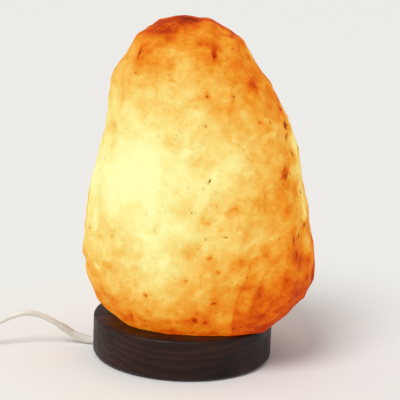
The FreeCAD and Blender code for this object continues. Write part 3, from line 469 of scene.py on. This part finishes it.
# The direction a painted light falls from onto each hewn chip: chips leaning towards it glow paler and the
# others darker, as painted facet shade.
FACET_LIGHT_FROM = np.array((-0.55, -0.25, 0.80))
BASE_TOP = 29.6 * MM
BASE_CLEAR = 2.0 * MM
BORE_CLEAR = 31 * MM
BORE_TOP = 141 * MM
PLUGS_CLEAR = 44 * MM
PLUGS_TOP = 66 * MM
VOXEL = 1.15 * MM
HOLD_ROUNDS = 4
EDGE_ROUNDS = 15
BROAD_ROUNDS = 6
SMOOTHING = 0.6
WHOLLY_FREE = 0.9
TINY = 1e-9
OUTWARD = 0.7 * MM
RIDGE_HEIGHT = 0.12 * MM
DEEPEST_STAIN = 30 * MM
# Swells of the surface: their size, their place in the noise and their height, sizes in millimetres.
SWELLS = [(26, 3.1, 0.9), (9, 7.7, 0.45), (3.2, 1.9, 0.16)]
# Bowls of the hewing: how many, the range of their radius and of their depth in millimetres.
HEWING = [
    (90, (36, 70), (0.5, 1.3)),
    (300, (18, 36), (0.4, 1.0)),
    (700, (7, 16), (0.25, 0.65)),
]
BOWL_LEAN = 0.7
BOWL_LENGTHENING = (0.15, 0.45)
BOWL_FACING = 0.3


def linked_arrays(mesh):
    """The mesh's points and the pairs of points that its edges join."""
    where = np.empty(len(mesh.vertices) * 3)
    mesh.vertices.foreach_get("co", where)
    edges = np.empty(len(mesh.edges) * 2, np.int64)
    mesh.edges.foreach_get("vertices", edges)
    return where.reshape(-1, 3), edges.reshape(-1, 2)


def neighbour_mean(values, edges):
    total = np.zeros_like(values)
    count = np.bincount(edges.ravel(), minlength=len(values)).astype(float)
    for column in range(values.shape[1]):
        total[:, column] = np.bincount(edges[:, 0], values[edges[:, 1], column], len(values))
        total[:, column] += np.bincount(edges[:, 1], values[edges[:, 0], column], len(values))
    return total / np.maximum(count, 1)[:, None]


def smoothed(values, edges, rounds):
    for _ in range(rounds):
        values = values + SMOOTHING * (neighbour_mean(values, edges) - values)
    return values


def vertex_normals(mesh, where):
    mesh.vertices.foreach_set("co", where.ravel())
    mesh.update()
    normals = np.empty(len(mesh.vertices) * 3)
    mesh.vertex_normals.foreach_get("vector", normals)
    return normals.reshape(-1, 3)


def evenly_divided(source, name, voxel):
    """A closed copy of a solid in small even faces."""
    piece = bpy.data.objects.new(name, source.data.copy())
    bpy.context.scene.collection.objects.link(piece)
    remesh = piece.modifiers.new("even", "REMESH")
    remesh.mode = "VOXEL"
    remesh.voxel_size = voxel
    graph = bpy.context.evaluated_depsgraph_get()
    mesh = bpy.data.meshes.new_from_object(piece.evaluated_get(graph))
    piece.modifiers.clear()
    piece.data = mesh
    mesh.materials.clear()
    return piece


def chisel_depth(where, normals, candidates, draws):
    """How deep the hewing cuts at each point: shallow, slightly long bowls, the deepest one counts."""
    depth = np.zeros(len(where))
    for count, radius_range, depth_range in HEWING:
        for _ in range(count):
            number = candidates[draws.integers(len(candidates))]
            radius = draws.uniform(*radius_range) * MM
            bite = draws.uniform(*depth_range) * MM
            normal = normals[number]
            tilt = draws.uniform(-BOWL_LEAN, BOWL_LEAN)
            along = np.cross(np.cross(normal, (math.sin(tilt), 0, math.cos(tilt))), normal)
            along /= max(np.linalg.norm(along), TINY)
            centre = where[number] + normal * (radius - bite)
            offset = where - centre
            offset -= np.outer(offset @ along, along) * draws.uniform(*BOWL_LENGTHENING)
            near = np.einsum("ij,ij->i", offset, offset) < radius * radius
            facing = near & (normals @ normal > BOWL_FACING)
            rise = offset[facing] @ normal
            gap = np.einsum("ij,ij->i", offset[facing], offset[facing]) - radius * radius
            cut = rise + np.sqrt(np.maximum(rise * rise - gap, 0))
            depth[facing] = np.maximum(depth[facing], cut)
    return depth


# A height, and how far the rock's left or right side shifts to the right there, in millimetres.
LEFT_SHIFT = [
    (55, 0), (62, -0.5), (70, 1), (77, 1.5), (86, 0), (104, 0), (118, -1), (132, 0), (146, 1), (166, 1),
    (174, 0), (206, 0), (216, 2), (224, 1), (230, -0.5), (240, 0),
]
RIGHT_SHIFT = [
    (34, 0), (41, -1), (48, 0.5), (64, 0.5), (77, -1), (86, 0), (104, 0), (111, 1), (132, 0), (146, 1),
    (154, 1), (167, -0.5), (188, 0.5), (202, -0.5), (222, 0.5), (230, -0.5), (240, 0),
]


def facing_share(facing, start, reach):
    """0 where a face looks that way less than start, 1 from start + reach on."""
    return np.clip((facing - start) / reach, 0, 1)


def trimmed_sides(where, normals):
    """How far each point shifts along X so that the rock's two sides keep to their outline."""
    left_heights, left = np.array(LEFT_SHIFT).T * MM
    right_heights, right = np.array(RIGHT_SHIFT).T * MM
    on_left = facing_share(-normals[:, 0], 0.45, 0.4)
    on_right = facing_share(normals[:, 0], 0.45, 0.4)
    up = where[:, 2]
    return on_left * np.interp(up, left_heights, left) + on_right * np.interp(up, right_heights, right)


# A place across, and how far the rock's top or underside shifts up there, in millimetres.
TOP_SHIFT = [
    (-50, 0), (-37, 1), (-32, 1), (-29, 0), (-25, 1), (-21, 0), (-16, -0.5), (-9, -1), (-1, -0.5), (3, 0),
    (8, 1.5), (12, 1.5), (16, 0), (20, -1), (26, 0),
]
UNDER_SHIFT = [(73, 0), (80, 3), (84, 3), (88, 0)]


def lifted(where, normals):
    """How far each point shifts up so that the rock's top and underside keep to their outline."""
    top_places, top = np.array(TOP_SHIFT).T * MM
    under_places, under = np.array(UNDER_SHIFT).T * MM
    on_top = facing_share(normals[:, 2], 0.3, 0.4)
    on_under = facing_share(-normals[:, 2], 0.2, 0.3)
    across = where[:, 0]
    return on_top * np.interp(across, top_places, top) + on_under * np.interp(across, under_places, under)


def lumps(where, size, place):
    """Smooth noise of this size at each point, from its own place in the noise."""
    shift = Vector((place, place * 0.7, place * 0.3))
    return np.array([noise.noise(Vector(point) / size + shift) for point in where])


# Where the salt looks thinnest, how much faster it thickens along X, Y and Z, and the least distance
# from the middle plane that counts, so that the front and the back glow alike.
GLOW_AT = (-0.041, 0.061, 0.138)
GLOW_STRETCH = (1.0, 1.46, 1.27)
SIDE_DEPTH = 36 * MM
THINNER = -2 * MM
THINNEST = 15 * MM
THICKEST = 195 * MM
CRACK_THICKER = 26 * MM
# The lit salt's colour from thin to thick, and that of the light it sends back, which darkens along with the
# glow: partly the salt's own deeper orange where thick, partly painted shade where the bulb's light falls
# off.
GLOW_STOPS = [
    (0.00, (0.76, 0.77, 0.36)), (0.10, (0.75, 0.72, 0.29)), (0.20, (0.72, 0.64, 0.215)),
    (0.322, (0.70, 0.505, 0.122)), (0.439, (0.69, 0.372, 0.050)), (0.55, (0.66, 0.265, 0.017)),
    (0.633, (0.65, 0.180, 0.005)), (0.733, (0.58, 0.088, 0.001)), (0.833, (0.44, 0.038, 0.001)),
    (1.00, (0.22, 0.012, 0.0005)),
]
BODY_COLOUR_AND_SHADE_STOPS = [
    (0.0, (0.25, 0.21, 0.09)), (0.322, (0.25, 0.15, 0.042)), (0.55, (0.22, 0.075, 0.009)),
    (0.722, (0.16, 0.028, 0.002)), (0.833, (0.10, 0.012, 0.001)), (1.0, (0.06, 0.006, 0.0005)),
]
SPECK_BODY = (0.05, 0.008, 0.002)
SPECK_GLOW = (0.24, 0.012, 0.0005)


def salt():
    """Salt lit from inside: pale over the bulb, orange where it is thick, with stains and specks."""
    finish = Finish("lit_salt")
    split = finish.node("ShaderNodeSeparateXYZ", {"Vector": finish.place}).outputs
    either_side = finish.math("MAXIMUM", finish.math("ABSOLUTE", split["Y"]), SIDE_DEPTH)
    folded = finish.node("ShaderNodeCombineXYZ", {"X": split["X"], "Y": either_side, "Z": split["Z"]})
    kind = "ShaderNodeVectorMath"
    offset = finish.node(kind, {0: folded.outputs[0], 1: GLOW_AT}, operation="SUBTRACT")
    scaled = finish.node(kind, {0: offset.outputs[0], 1: GLOW_STRETCH}, operation="MULTIPLY")
    away = finish.node(kind, {0: scaled.outputs[0]}, operation="LENGTH").outputs["Value"]
    cloud = finish.noise(30 * MM, detail=3.0, roughness=0.5, warp=0.3)
    mottle = finish.noise(15 * MM, detail=1.0, roughness=0.4, shift=(0.5, 0.3, 0.1))
    patch = finish.noise(8 * MM, stretch=(1, 1, 1.15), detail=4.0, roughness=0.47)
    chips = finish.patches(13 * MM, 7 * MM)
    small_chips = finish.patches(6.5 * MM, 4 * MM, shift=(0.02, 0.05, 0.01))
    fray = finish.noise(3.5 * MM, detail=4.0, roughness=0.65, warp=0.6)
    frayed = finish.span(fray, 0.30, 0.68, 0.55, 1.40)
    grit = finish.noise(1.1 * MM, detail=3.0, roughness=0.7)
    stain = finish.math("MULTIPLY", finish.attribute("stain"), frayed)
    thick = finish.math("ADD", finish.math("ADD", away, stain), THINNER)
    wandering = finish.noise(13 * MM, detail=2.5, roughness=0.5, warp=0.3, shift=(0.3, 0.1, 0.2))
    from_line = finish.math("ABSOLUTE", finish.math("SUBTRACT", wandering, 0.5))
    hairline = finish.span(from_line, 0.0, 0.010, 1.0, 0.0)
    broken = finish.span(finish.noise(7 * MM, shift=(0.7, 0.2, 0.5)), 0.56, 0.62, smooth=True)
    crack = finish.math("MULTIPLY", hairline, broken)
    island_noise = finish.noise(11 * MM, detail=4.0, roughness=0.5, shift=(0.2, 0.6, 0.4))
    islands = finish.span(island_noise, 0.52, 0.62, smooth=True)
    islets = finish.span(finish.noise(4.2 * MM, detail=4.0, roughness=0.6), 0.56, 0.64, smooth=True)
    # Painted highlight on ridges and painted shade in hollows, read from the surface's bulge.
    ridge_highlight_hollow_shade = finish.attribute("ridge_highlight_hollow_shade")
    # Painted facet shade: chips that lean towards a fixed light direction glow paler, those leaning away
    # darker.
    tilt = finish.attribute("tilt")
    thickening = (
        (cloud, 54), (mottle, 44), (patch, 25), (chips, 14), (small_chips, 8), (islands, -9), (islets, 7),
        (ridge_highlight_hollow_shade, -5), (tilt, -30), (grit, 6),
    )
    for layer, reach in thickening:
        thick = finish.math("MULTIPLY_ADD", finish.math("SUBTRACT", layer, 0.5), reach * MM, thick)
    thick = finish.math("MULTIPLY_ADD", crack, CRACK_THICKER, thick)
    share = finish.span(thick, THINNEST, THICKEST)
    glow = finish.ramp(share, GLOW_STOPS, smooth=False)
    # The colour that sends back studio light: partly the salt's own deeper orange where thick, partly
    # painted shade that darkens it with the glow.
    body = finish.ramp(share, BODY_COLOUR_AND_SHADE_STOPS, smooth=False)
    mineral = finish.noise(2.4 * MM, stretch=(1, 1, 0.5), detail=5.0, roughness=0.72)
    scattered = finish.span(mineral, 0.615, 0.675, smooth=True)
    speck = finish.math("MULTIPLY", scattered, finish.span(cloud, 0.44, 0.60))
    grains = finish.span(finish.noise(1.4 * MM, detail=3.0, roughness=0.7), 0.30, 0.70, 0.25, 1.25)
    placed = finish.span(finish.math("MULTIPLY", finish.attribute("speck"), grains), 0.25, 0.80, smooth=True)
    speck = finish.math("MAXIMUM", finish.math("MULTIPLY", speck, 0.55), placed)
    finish.surface(
        Base_Color=finish.mix(speck, body, SPECK_BODY),
        Emission_Color=finish.mix(finish.math("MULTIPLY", speck, 0.92), glow, SPECK_GLOW),
        Emission_Strength=1.0,
        Roughness=finish.span(grit, 0.3, 0.7, 0.62, 0.82),
        Specular_IOR_Level=0.06,
    )
    finish.bump((grit, 0.22 * MM), (patch, 0.5 * MM), (small_chips, 0.15 * MM))
    return finish.material


def make_crystal():
    """The crystal as seen: the solid in small faces, worn round, hewn, swelled, pitted and dressed."""
    draws = np.random.default_rng(SEED)
    piece = evenly_divided(NODES["salt_crystal"], "salt_rock", VOXEL)
    mesh = piece.data
    where, edges = linked_arrays(mesh)
    from_axis = np.hypot(where[:, 0], where[:, 1])
    inside = (from_axis < BORE_CLEAR) & (where[:, 2] < BORE_TOP)
    inside |= (from_axis < PLUGS_CLEAR) & (where[:, 2] < PLUGS_TOP)
    free = ~inside & (where[:, 2] > BASE_TOP + BASE_CLEAR)
    hold = smoothed(free[:, None].astype(float), edges, HOLD_ROUNDS)
    rounded = smoothed(where, edges, EDGE_ROUNDS)
    where = where + (rounded - where) * hold
    normals = vertex_normals(mesh, where)
    broad = smoothed(normals, edges, BROAD_ROUNDS)
    broad /= np.maximum(np.linalg.norm(broad, axis=1), TINY)[:, None]
    candidates = np.where(hold[:, 0] > WHOLLY_FREE)[0]
    depth = chisel_depth(where, broad, candidates, draws)
    swell = sum(lumps(where, size * MM, place) * height * MM for size, place, height in SWELLS)
    stain, speck = stains(where, candidates, draws)
    pitted = STAIN_PIT * np.clip(stain, 0, DEEPEST_STAIN) + SPECK_PIT * speck
    raise_by = OUTWARD - depth + swell - pitted
    where = where + broad * (raise_by * hold[:, 0])[:, None]
    where[:, 0] += trimmed_sides(where, broad) * hold[:, 0]
    where[:, 2] += lifted(where, broad) * hold[:, 0]
    normals = vertex_normals(mesh, where)
    # Painted highlight and painted shade from the surface's bulge: ridges will glow paler and hollows
    # darker.
    around = neighbour_mean(smoothed(where, edges, 2), edges)
    sharp = np.einsum("ij,ij->i", where - around, normals) / RIDGE_HEIGHT
    ridge_highlight_hollow_shade = np.clip(0.5 + 0.5 * smoothed(sharp[:, None], edges, 2)[:, 0], 0, 1)
    # Painted facet shade: how far each chip leans towards a fixed light direction, so that it glows paler or
    # darker.
    leaning = smoothed(normals - broad, edges, 1) @ FACET_LIGHT_FROM
    held = 0.5 * (1 - hold[:, 0])
    add_attribute(mesh, "tilt", np.clip(0.5 + leaning, 0, 1) * hold[:, 0] + held)
    add_attribute(mesh, "ridge_highlight_hollow_shade", ridge_highlight_hollow_shade * hold[:, 0] + held)
    add_attribute(mesh, "stain", stain)
    add_attribute(mesh, "speck", speck)
    mesh.polygons.foreach_set("use_smooth", np.ones(len(mesh.polygons), bool))
    mesh.materials.append(salt())
    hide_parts("salt_crystal")
    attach(piece, "lamp")


# Stains and thin pale places on the front: how far across and up, half width and half height, lean to
# the left in degrees, and how much thicker the salt looks there, the sizes in millimetres.
FRONT_MARKS = [
    # top cap and upper left
    (-8, 243, 21, 4, 0, 17), (-15, 237, 4, 3, 0, 22), (-21, 238, 5, 4, 0, 24), (-9, 238, 9, 3, 0, 16),
    (-24, 233, 10, 5, 0, 9), (-36, 219, 1, 4, -18, 34), (-33, 222, 6, 8, 0, 11), (-29, 215, 7, 6, 0, 9),
    (-39, 198, 5, 5, 0, 10), (-13, 214, 3, 5, 0, 11), (-11, 204, 3, 0.6, -30, 26), (-13, 200, 2, 0.6, 0, 24),
    (-4, 215, 4, 8, 0, -8), (-8, 210, 8, 10, 0, -10), (-3, 229, 6, 5, 0, -12), (-10, 225, 7, 4, 0, -14),
    # upper right
    (6, 228, 4, 3, 0, 13), (14, 226, 4, 3, 0, 20), (15, 221, 1.5, 3, 0, 34), (22, 221, 6, 8, 0, -24),
    (28, 233, 3, 2, 0, 12), (38, 219, 3.5, 4, 0, -20), (18, 211, 5, 6, 0, -18), (26, 203, 9, 8, 0, -11),
    (44, 204, 4, 5, 0, 14), (38, 199, 7, 5, 0, 8), (39, 195, 10, 11, 0, 8), (45, 191, 5, 3, 10, 6),
    # between the top and the middle
    (12, 195, 1.5, 3.5, 0, 24), (3, 192, 5.5, 1, 5, 14), (28, 194, 2, 5, 0, 20), (18, 196, 5, 4, 0, 16),
    (20, 186, 10, 4, 0, 13), (-12, 183, 7, 4, 0, 7), (-8, 190, 5, 4, 0, -8), (-30, 177, 6, 6, 0, 14),
    (-41, 171, 8, 6, 0, -10), (-50, 188, 3, 11, 0, -8),
    # middle
    (-8, 165, 9, 3.5, -8, 12), (-3, 162, 6, 1, 2, 12), (-12, 161, 5, 5, 0, 24), (10, 158, 8, 3.5, 0, 12),
    (30, 155, 11, 6, 0, -13), (33, 163, 5, 6, 0, -16), (53, 159, 6, 5, 0, -22), (55, 172, 6, 2, 38, -15),
    (58, 175, 4, 4, 0, -12), (9, 153, 8, 3.5, 0, 18), (8, 151, 12, 10, 0, 8), (-16, 149, 3.5, 5, 0, 8),
    (-47, 156, 3.5, 3, 0, 9), (-25, 154, 10, 10, 0, -10), (18, 145, 3, 5, -30, -20), (21, 148, 5, 5, 0, -18),
    (20, 134, 4, 6, 0, -12), (-6, 142, 9, 6, 0, -18), (-15, 137, 4, 1, 0, 17), (-46, 128, 3, 3, 0, 11),
    # the tan plane right of the middle
    (32, 122, 6, 3.5, 0, 13), (18, 121, 5, 3, 0, 7), (29, 120, 13, 10, 0, 11), (53, 124, 9, 7, 0, 16),
    (62, 124, 4, 5, 0, 14), (54, 133, 5, 4, 0, 8), (64, 135, 5.5, 6.5, 0, 32), (63, 145, 5, 5, 0, 15),
    (65, 144, 2.5, 4, 0, 28), (71, 144, 5, 6, 0, -42), (68, 120, 3.5, 3, 30, 22), (63, 113, 5, 4, 0, -14),
    (63, 107, 10, 2, 45, -22),
    # below the middle
    (4, 118, 12, 9, 0, 9), (-1, 119, 6, 3.5, 0, 12), (12, 120, 3.5, 7, 0, 10), (13, 114, 5, 3, 0, 16),
    (15, 113, 2, 1, 0, 20), (9, 108, 4, 2, 0, 13), (-4, 110, 9, 3.5, 18, -13), (4, 104, 5, 5, 0, -18),
    (-5, 97, 7, 5, 0, -6), (-20, 110, 12, 14, 0, -18), (24, 109, 9, 6, 0, 26), (38, 104, 6, 5, 0, 22),
    (47, 103, 4, 7, -30, -9), (20, 93, 5, 5, 0, 18), (61, 96, 6, 7, 0, -24), (58, 86, 10, 8, 0, -9),
    (57, 76, 6, 1, 8, -12), (74, 99, 5, 10, 0, 10),
    # lower left
    (-54, 105, 3, 5, 0, 13), (-52, 88, 4, 8, 0, -18), (-52, 78, 4, 3, 0, 22), (-50, 72, 4, 5, 0, -14),
    (-61, 74, 3.5, 2, -40, -26), (-33, 73, 4, 5, 0, -12), (-42, 65, 7, 7, 0, -22), (-22, 84, 14, 12, 0, -16),
    (-22, 64, 14, 9, 0, -13), (-25, 61, 1.5, 2, 30, 22), (-27, 60, 6, 6, 0, 8), (-35, 43, 1.5, 1.5, 0, 16),
    # lower middle
    (3, 91, 4, 3.5, 0, 19), (-6, 79, 10, 10, 0, -16), (17, 89, 1.5, 2, 0, 30), (21, 86, 3, 3.5, 0, 16),
    (23, 80, 1.5, 1.5, 0, 28), (29, 76, 2, 2, 0, 18), (37, 87, 5, 5, 0, 12), (2, 73, 2, 1, 0, 12),
    (21, 56, 3, 1, 0, 26), (15, 60, 6, 11, 0, -26), (4, 57, 8, 4, 0, 8), (9, 44, 2, 1.5, -20, 26),
    (16, 42, 1.5, 1, 0, 26), (-7, 34, 4, 1.5, 0, 10), (-1, 37, 14, 3, 0, -8),
    # lower right
    (41, 76, 5, 7, 0, -16), (35, 71, 2, 6, -20, -9), (51, 64, 2.5, 7, -34, 24), (35, 38, 6, 4, 0, 20),
    (47, 44, 5, 3, 0, -12), (52, 36, 3, 3, 0, 12), (78, 60, 1.5, 4, 0, 16), (86, 69, 1, 3, 0, 24),
    # the pale strips along the right and the left edge
    (65, 181, 2.5, 6, 20, -34), (72, 167, 3.5, 10, 12, -50), (75, 154, 3.5, 9, 8, -30),
    (78, 140, 3.5, 11, 0, -46), (80, 128, 4, 9, 0, -30), (82, 116, 4, 9, 0, -56), (78, 107, 4, 7, 0, -34),
    (85, 107, 3.5, 7, 0, -18), (86, 98, 4, 9, 0, -50), (91, 84, 3, 7, 0, -28), (-62, 106, 2, 23, 0, -13),
]
# Dark mineral specks on the front: how far across and up, half width and half height, and lean.
SPECKS = [
    # along the right edge
    (66, 174, 1, 4, 14), (67, 167, 1, 3, 0), (63, 183, 1, 1, 0), (70, 156, 0.7, 3.5, 8),
    (67, 142, 0.8, 3.5, 0), (78, 128, 1, 2, 0), (81, 107, 1.4, 2, 0), (74, 99, 1, 4, 0),
    (78, 101, 0.7, 3, 0), (77, 88, 1.4, 3, 0), (80, 83, 0.8, 2, 0),
    # the middle and the top
    (4, 120, 0.8, 0.8, 0), (27, 104, 2.3, 0.6, 0), (14, 102, 0.7, 0.7, 0), (15, 141, 0.8, 2.3, -20),
    (11, 136, 1, 0.8, 0), (11, 176, 1, 0.9, 0), (27, 225, 0.9, 0.8, 0), (15, 220, 0.9, 1.5, 0),
    (11, 195, 0.8, 1.7, 0), (29, 195, 0.8, 1.5, 0),
    # below the middle
    (23, 79, 1, 0.6, 0), (12, 76, 0.7, 0.6, 0), (-25, 60, 0.8, 1.4, 30), (-13, 58, 0.6, 0.6, 0),
    (21, 56, 2, 0.5, 0), (9, 43, 1.4, 0.7, -30), (16, 42, 1, 0.5, 0), (2, 73, 0.9, 0.6, 0),
    (48, 98, 0.6, 0.6, 0), (17, 89, 0.7, 1, 0),
    # here and there
    (-66, 99, 0.6, 1.4, 0), (-34, 41, 0.6, 1, 20), (-36, 220, 0.8, 2, -18), (-11, 193, 0.6, 0.6, 0),
    (54, 178, 0.7, 1.4, 0), (47, 178, 1.7, 0.5, -10), (70, 72, 0.6, 0.6, 0),
]
# Borders between hewn planes on the front: places across and up, and how much thicker the salt
# looks just to the right of a line that is drawn downwards.
BORDERS = [
    ([(48, 90), (44, 84), (39, 70), (35, 55), (34, 33)], 12),
    ([(73, 109), (64, 103), (56, 95), (53, 91), (48, 90)], 10),
    ([(-48, 198), (-52, 179), (-54, 162), (-54, 149)], 6),
    ([(-60, 127), (-59, 101), (-56, 71)], 9),
]
BORDER_FADE = 8 * MM
BORDER_WIDTH = 0.6 * MM
BORDER_THINNING = 0.4
FRONT_TO = 18 * MM
FRONT_FADE = 22 * MM
OTHER_MARKS = 90
OTHER_SPECKS = 45
OTHER_WIDTH = (2, 9)
OTHER_HEIGHT = (0.5, 1.8)
OTHER_THICKER = (14, 38)
OTHER_USUAL = 20 * MM
OTHER_STRENGTH = 1.4
SPECK_TIGHTNESS = 25
SPOT_FIRMNESS = 1.3
STAIN_PIT = 0.012
SPECK_PIT = 0.35 * MM
SPECK_RING = 9 * MM
SPECK_RING_WIDTH = 1.2


def spot(across, up, width, height, lean):
    """How near each point is to the middle of a leaning oval: 1 there, near 0 outside it."""
    turned = math.radians(lean)
    along = across * math.cos(turned) + up * math.sin(turned)
    upward = up * math.cos(turned) - across * math.sin(turned)
    spread = (along / width) ** 2 + (upward / height) ** 2
    return np.exp(-spread ** SPOT_FIRMNESS)


def border_jump(across, up, line, more):
    """A step of thickness along a line, fading on both sides of it."""
    nearest = np.full(len(across), 1.0)
    jump = np.zeros(len(across))
    for (x0, z0), (x1, z1) in zip(line, line[1:]):
        x0, z0, x1, z1 = x0 * MM, z0 * MM, x1 * MM, z1 * MM
        reach = math.hypot(x1 - x0, z1 - z0)
        unit_x, unit_z = (x1 - x0) / reach, (z1 - z0) / reach
        share = np.clip(((across - x0) * unit_x + (up - z0) * unit_z) / reach, 0, 1)
        off_x = across - x0 - share * (x1 - x0)
        off_z = up - z0 - share * (z1 - z0)
        away = np.hypot(off_x, off_z)
        side = np.sign(off_z * unit_x - off_x * unit_z)
        closer = away < nearest
        nearest[closer] = away[closer]
        jump[closer] = side[closer]
    right_side = jump > 0
    fade = np.exp(-nearest / BORDER_FADE)
    edge = np.clip(nearest / BORDER_WIDTH, 0, 1)
    return np.where(right_side, more * MM * fade, -BORDER_THINNING * more * MM * fade) * edge


def stains(where, candidates, draws):
    """How much thicker the salt looks at each point because of its stains, in metres, and its specks."""
    across, depth, up = where.T
    front = np.clip((FRONT_TO - depth) / FRONT_FADE, 0, 1)
    total = np.zeros(len(where))
    dark = np.zeros(len(where))
    for x, z, width, height, lean, more in FRONT_MARKS:
        off_x, off_z = across - x * MM, up - z * MM
        total += more * MM * spot(off_x, off_z, width * MM, height * MM, lean) * front
    for line, more in BORDERS:
        total += border_jump(across, up, line, more) * front
    for x, z, width, height, lean in SPECKS:
        off_x, off_z = across - x * MM, up - z * MM
        dark = np.maximum(dark, spot(off_x, off_z, width * MM, height * MM, lean) * front)
        ring_width, ring_height = (width + SPECK_RING_WIDTH) * MM, (height + SPECK_RING_WIDTH) * MM
        total += SPECK_RING * spot(off_x, off_z, ring_width, ring_height, lean) * front
    for number in range(OTHER_MARKS + OTHER_SPECKS):
        middle = where[candidates[draws.integers(len(candidates))]]
        width = draws.uniform(*OTHER_WIDTH) * MM
        height = width * draws.uniform(*OTHER_HEIGHT)
        more = draws.uniform(*OTHER_THICKER) * MM * (OTHER_USUAL / (OTHER_USUAL + width)) * OTHER_STRENGTH
        on_front = middle[1] < -0.25 * abs(middle[0]) - 10 * MM
        if on_front:
            continue
        offset = where - middle
        spread = (offset[:, 0] ** 2 + offset[:, 1] ** 2) / width ** 2 + (offset[:, 2] / height) ** 2
        if number < OTHER_MARKS:
            total += more * np.exp(-spread)
        else:
            dark = np.maximum(dark, np.exp(-spread * SPECK_TIGHTNESS))
    return total, dark


def add_attribute(mesh, name, values):
    mesh.attributes.new(name, "FLOAT", "POINT").data.foreach_set("value", values.astype(np.float32))


make_crystal()

# ---------------------------------------------------------------- finishes of the construction's own pieces


def finish_nodes():
    """Gives every piece that stays as constructed the finish of its stuff."""
    finishes = {
        stained_wood(): ["wooden_base"],
        felt(): ["base_pad_ring"],
        metal("zinc_plate", (0.62, 0.62, 0.60), 0.32, (0.2, 1, 1)): [
            "crystal_screws", "holder_plate", "holder_nut", "clamp_screws", "switch_screws",
            "terminal_screws",
        ],
        metal("spring_steel", (0.45, 0.46, 0.48), 0.28, (0.1, 1, 1)): [
            "holder_spring_clip", "switch_pivot_pin",
        ],
        metal("brass", (0.76, 0.54, 0.22), 0.27, (1, 1, 0.2)): [
            "holder_nipple", "holder_terminals", "holder_screw_shell", "holder_centre_contact",
            "bulb_contact", "switch_contacts", "switch_contact_blade", "switch_conductors",
        ],
        metal("nickel", (0.66, 0.64, 0.60), 0.20, (0.1, 1, 1)): [
            "bulb_cap", "plug_pins", "bulb_lead_wires",
        ],
        moulded("holder_plastic", (0.030, 0.029, 0.028), 0.42): ["holder_lower_cap", "holder_sleeve"],
        moulded("ceramic_insulator", (0.72, 0.70, 0.64), 0.35): ["holder_insulator"],
        moulded("nylon_plugs", (0.42, 0.43, 0.43), 0.5): ["crystal_wall_plugs"],
        moulded("black_vitrite", (0.015, 0.013, 0.016), 0.18): ["bulb_insulator"],
        moulded("brown_core", (0.12, 0.045, 0.02), 0.4): ["live_wire"],
        moulded("blue_core", (0.02, 0.09, 0.36), 0.4): ["neutral_wire"],
        moulded("inner_sheath", CORD_WHITE, CORD_GLOSS): ["cord_inner_run"],
        moulded("sleeve_rubber", (0.78, 0.75, 0.67), 0.55): ["cord_sleeve"],
        moulded("clamp_nylon", (0.75, 0.74, 0.70), 0.45): ["cord_clamp", "switch_cord_clamps"],
        moulded("tie_plastic", (0.06, 0.06, 0.062), 0.4): ["coil_tie"],
        moulded("switch_plastic", WHITE, 0.36): ["switch_lower_shell", "switch_upper_shell"],
        moulded("rocker_plastic", shade(WHITE, 0.96), 0.32, depth=0.008 * MM): ["switch_rocker"],
        moulded("plug_plastic", WHITE, 0.38): ["plug_body"],
        moulded("pin_jackets", (0.03, 0.03, 0.03), 0.4): ["plug_pin_sleeves"],
        clear_glass("bulb_glass", 0.02): ["bulb_glass"],
        clear_glass("stem_glass", 0.06): ["bulb_stem"],
        hot_tungsten(): ["bulb_filament"],
    }
    for material, names in finishes.items():
        for name in names:
            slots = NODES[name].data.materials
            for index in range(len(slots)):
                slots[index] = material
            if not slots:
                slots.append(material)


finish_nodes()

# ---------------------------------------------------------------- floor and light

FLOOR_REACH = 40.0
FLOOR_COLOUR = (0.86, 0.855, 0.84)
BACKGROUND = (0.885, 0.88, 0.865)
SOFT_COLOUR = (1.0, 0.995, 0.98)
SOFT_STRENGTH = 0.55
KEY_STRENGTH = 1.75
KEY_SPREAD = math.radians(28)
KEY_TILT = math.radians(38)
KEY_TURN = math.radians(-32)


def make_floor():
    mesh = bpy.data.meshes.new("floor")
    reach = FLOOR_REACH
    corners = [(-reach, -reach, 0), (reach, -reach, 0), (reach, reach, 0), (-reach, reach, 0)]
    mesh.from_pydata(corners, [], [(0, 1, 2, 3)])
    floor = bpy.data.objects.new("floor", mesh)
    bpy.context.scene.collection.objects.link(floor)
    finish = Finish("floor")
    finish.surface(Base_Color=FLOOR_COLOUR, Roughness=0.9, Specular_IOR_Level=0.1)
    mesh.materials.append(finish.material)


def make_light():
    """Even light from all round, a plain pale background for the camera, and one broad key light."""
    world = bpy.data.worlds.new("studio")
    bpy.context.scene.world = world
    world.use_nodes = True
    nodes, links = world.node_tree.nodes, world.node_tree.links
    soft = nodes["Background"]
    soft.inputs["Color"].default_value = (*SOFT_COLOUR, 1.0)
    soft.inputs["Strength"].default_value = SOFT_STRENGTH
    seen = nodes.new("ShaderNodeBackground")
    seen.inputs["Color"].default_value = (*BACKGROUND, 1.0)
    path = nodes.new("ShaderNodeLightPath")
    either = nodes.new("ShaderNodeMixShader")
    links.new(path.outputs["Is Camera Ray"], either.inputs[0])
    links.new(soft.outputs[0], either.inputs[1])
    links.new(seen.outputs[0], either.inputs[2])
    links.new(either.outputs[0], nodes["World Output"].inputs["Surface"])
    key = bpy.data.lights.new("key", "SUN")
    key.energy = KEY_STRENGTH
    key.angle = KEY_SPREAD
    lamp = bpy.data.objects.new("key", key)
    bpy.context.scene.collection.objects.link(lamp)
    lamp.rotation_euler = (KEY_TILT, 0, KEY_TURN)


make_floor()
make_light()
bpy.context.scene.view_settings.view_transform = "Standard"
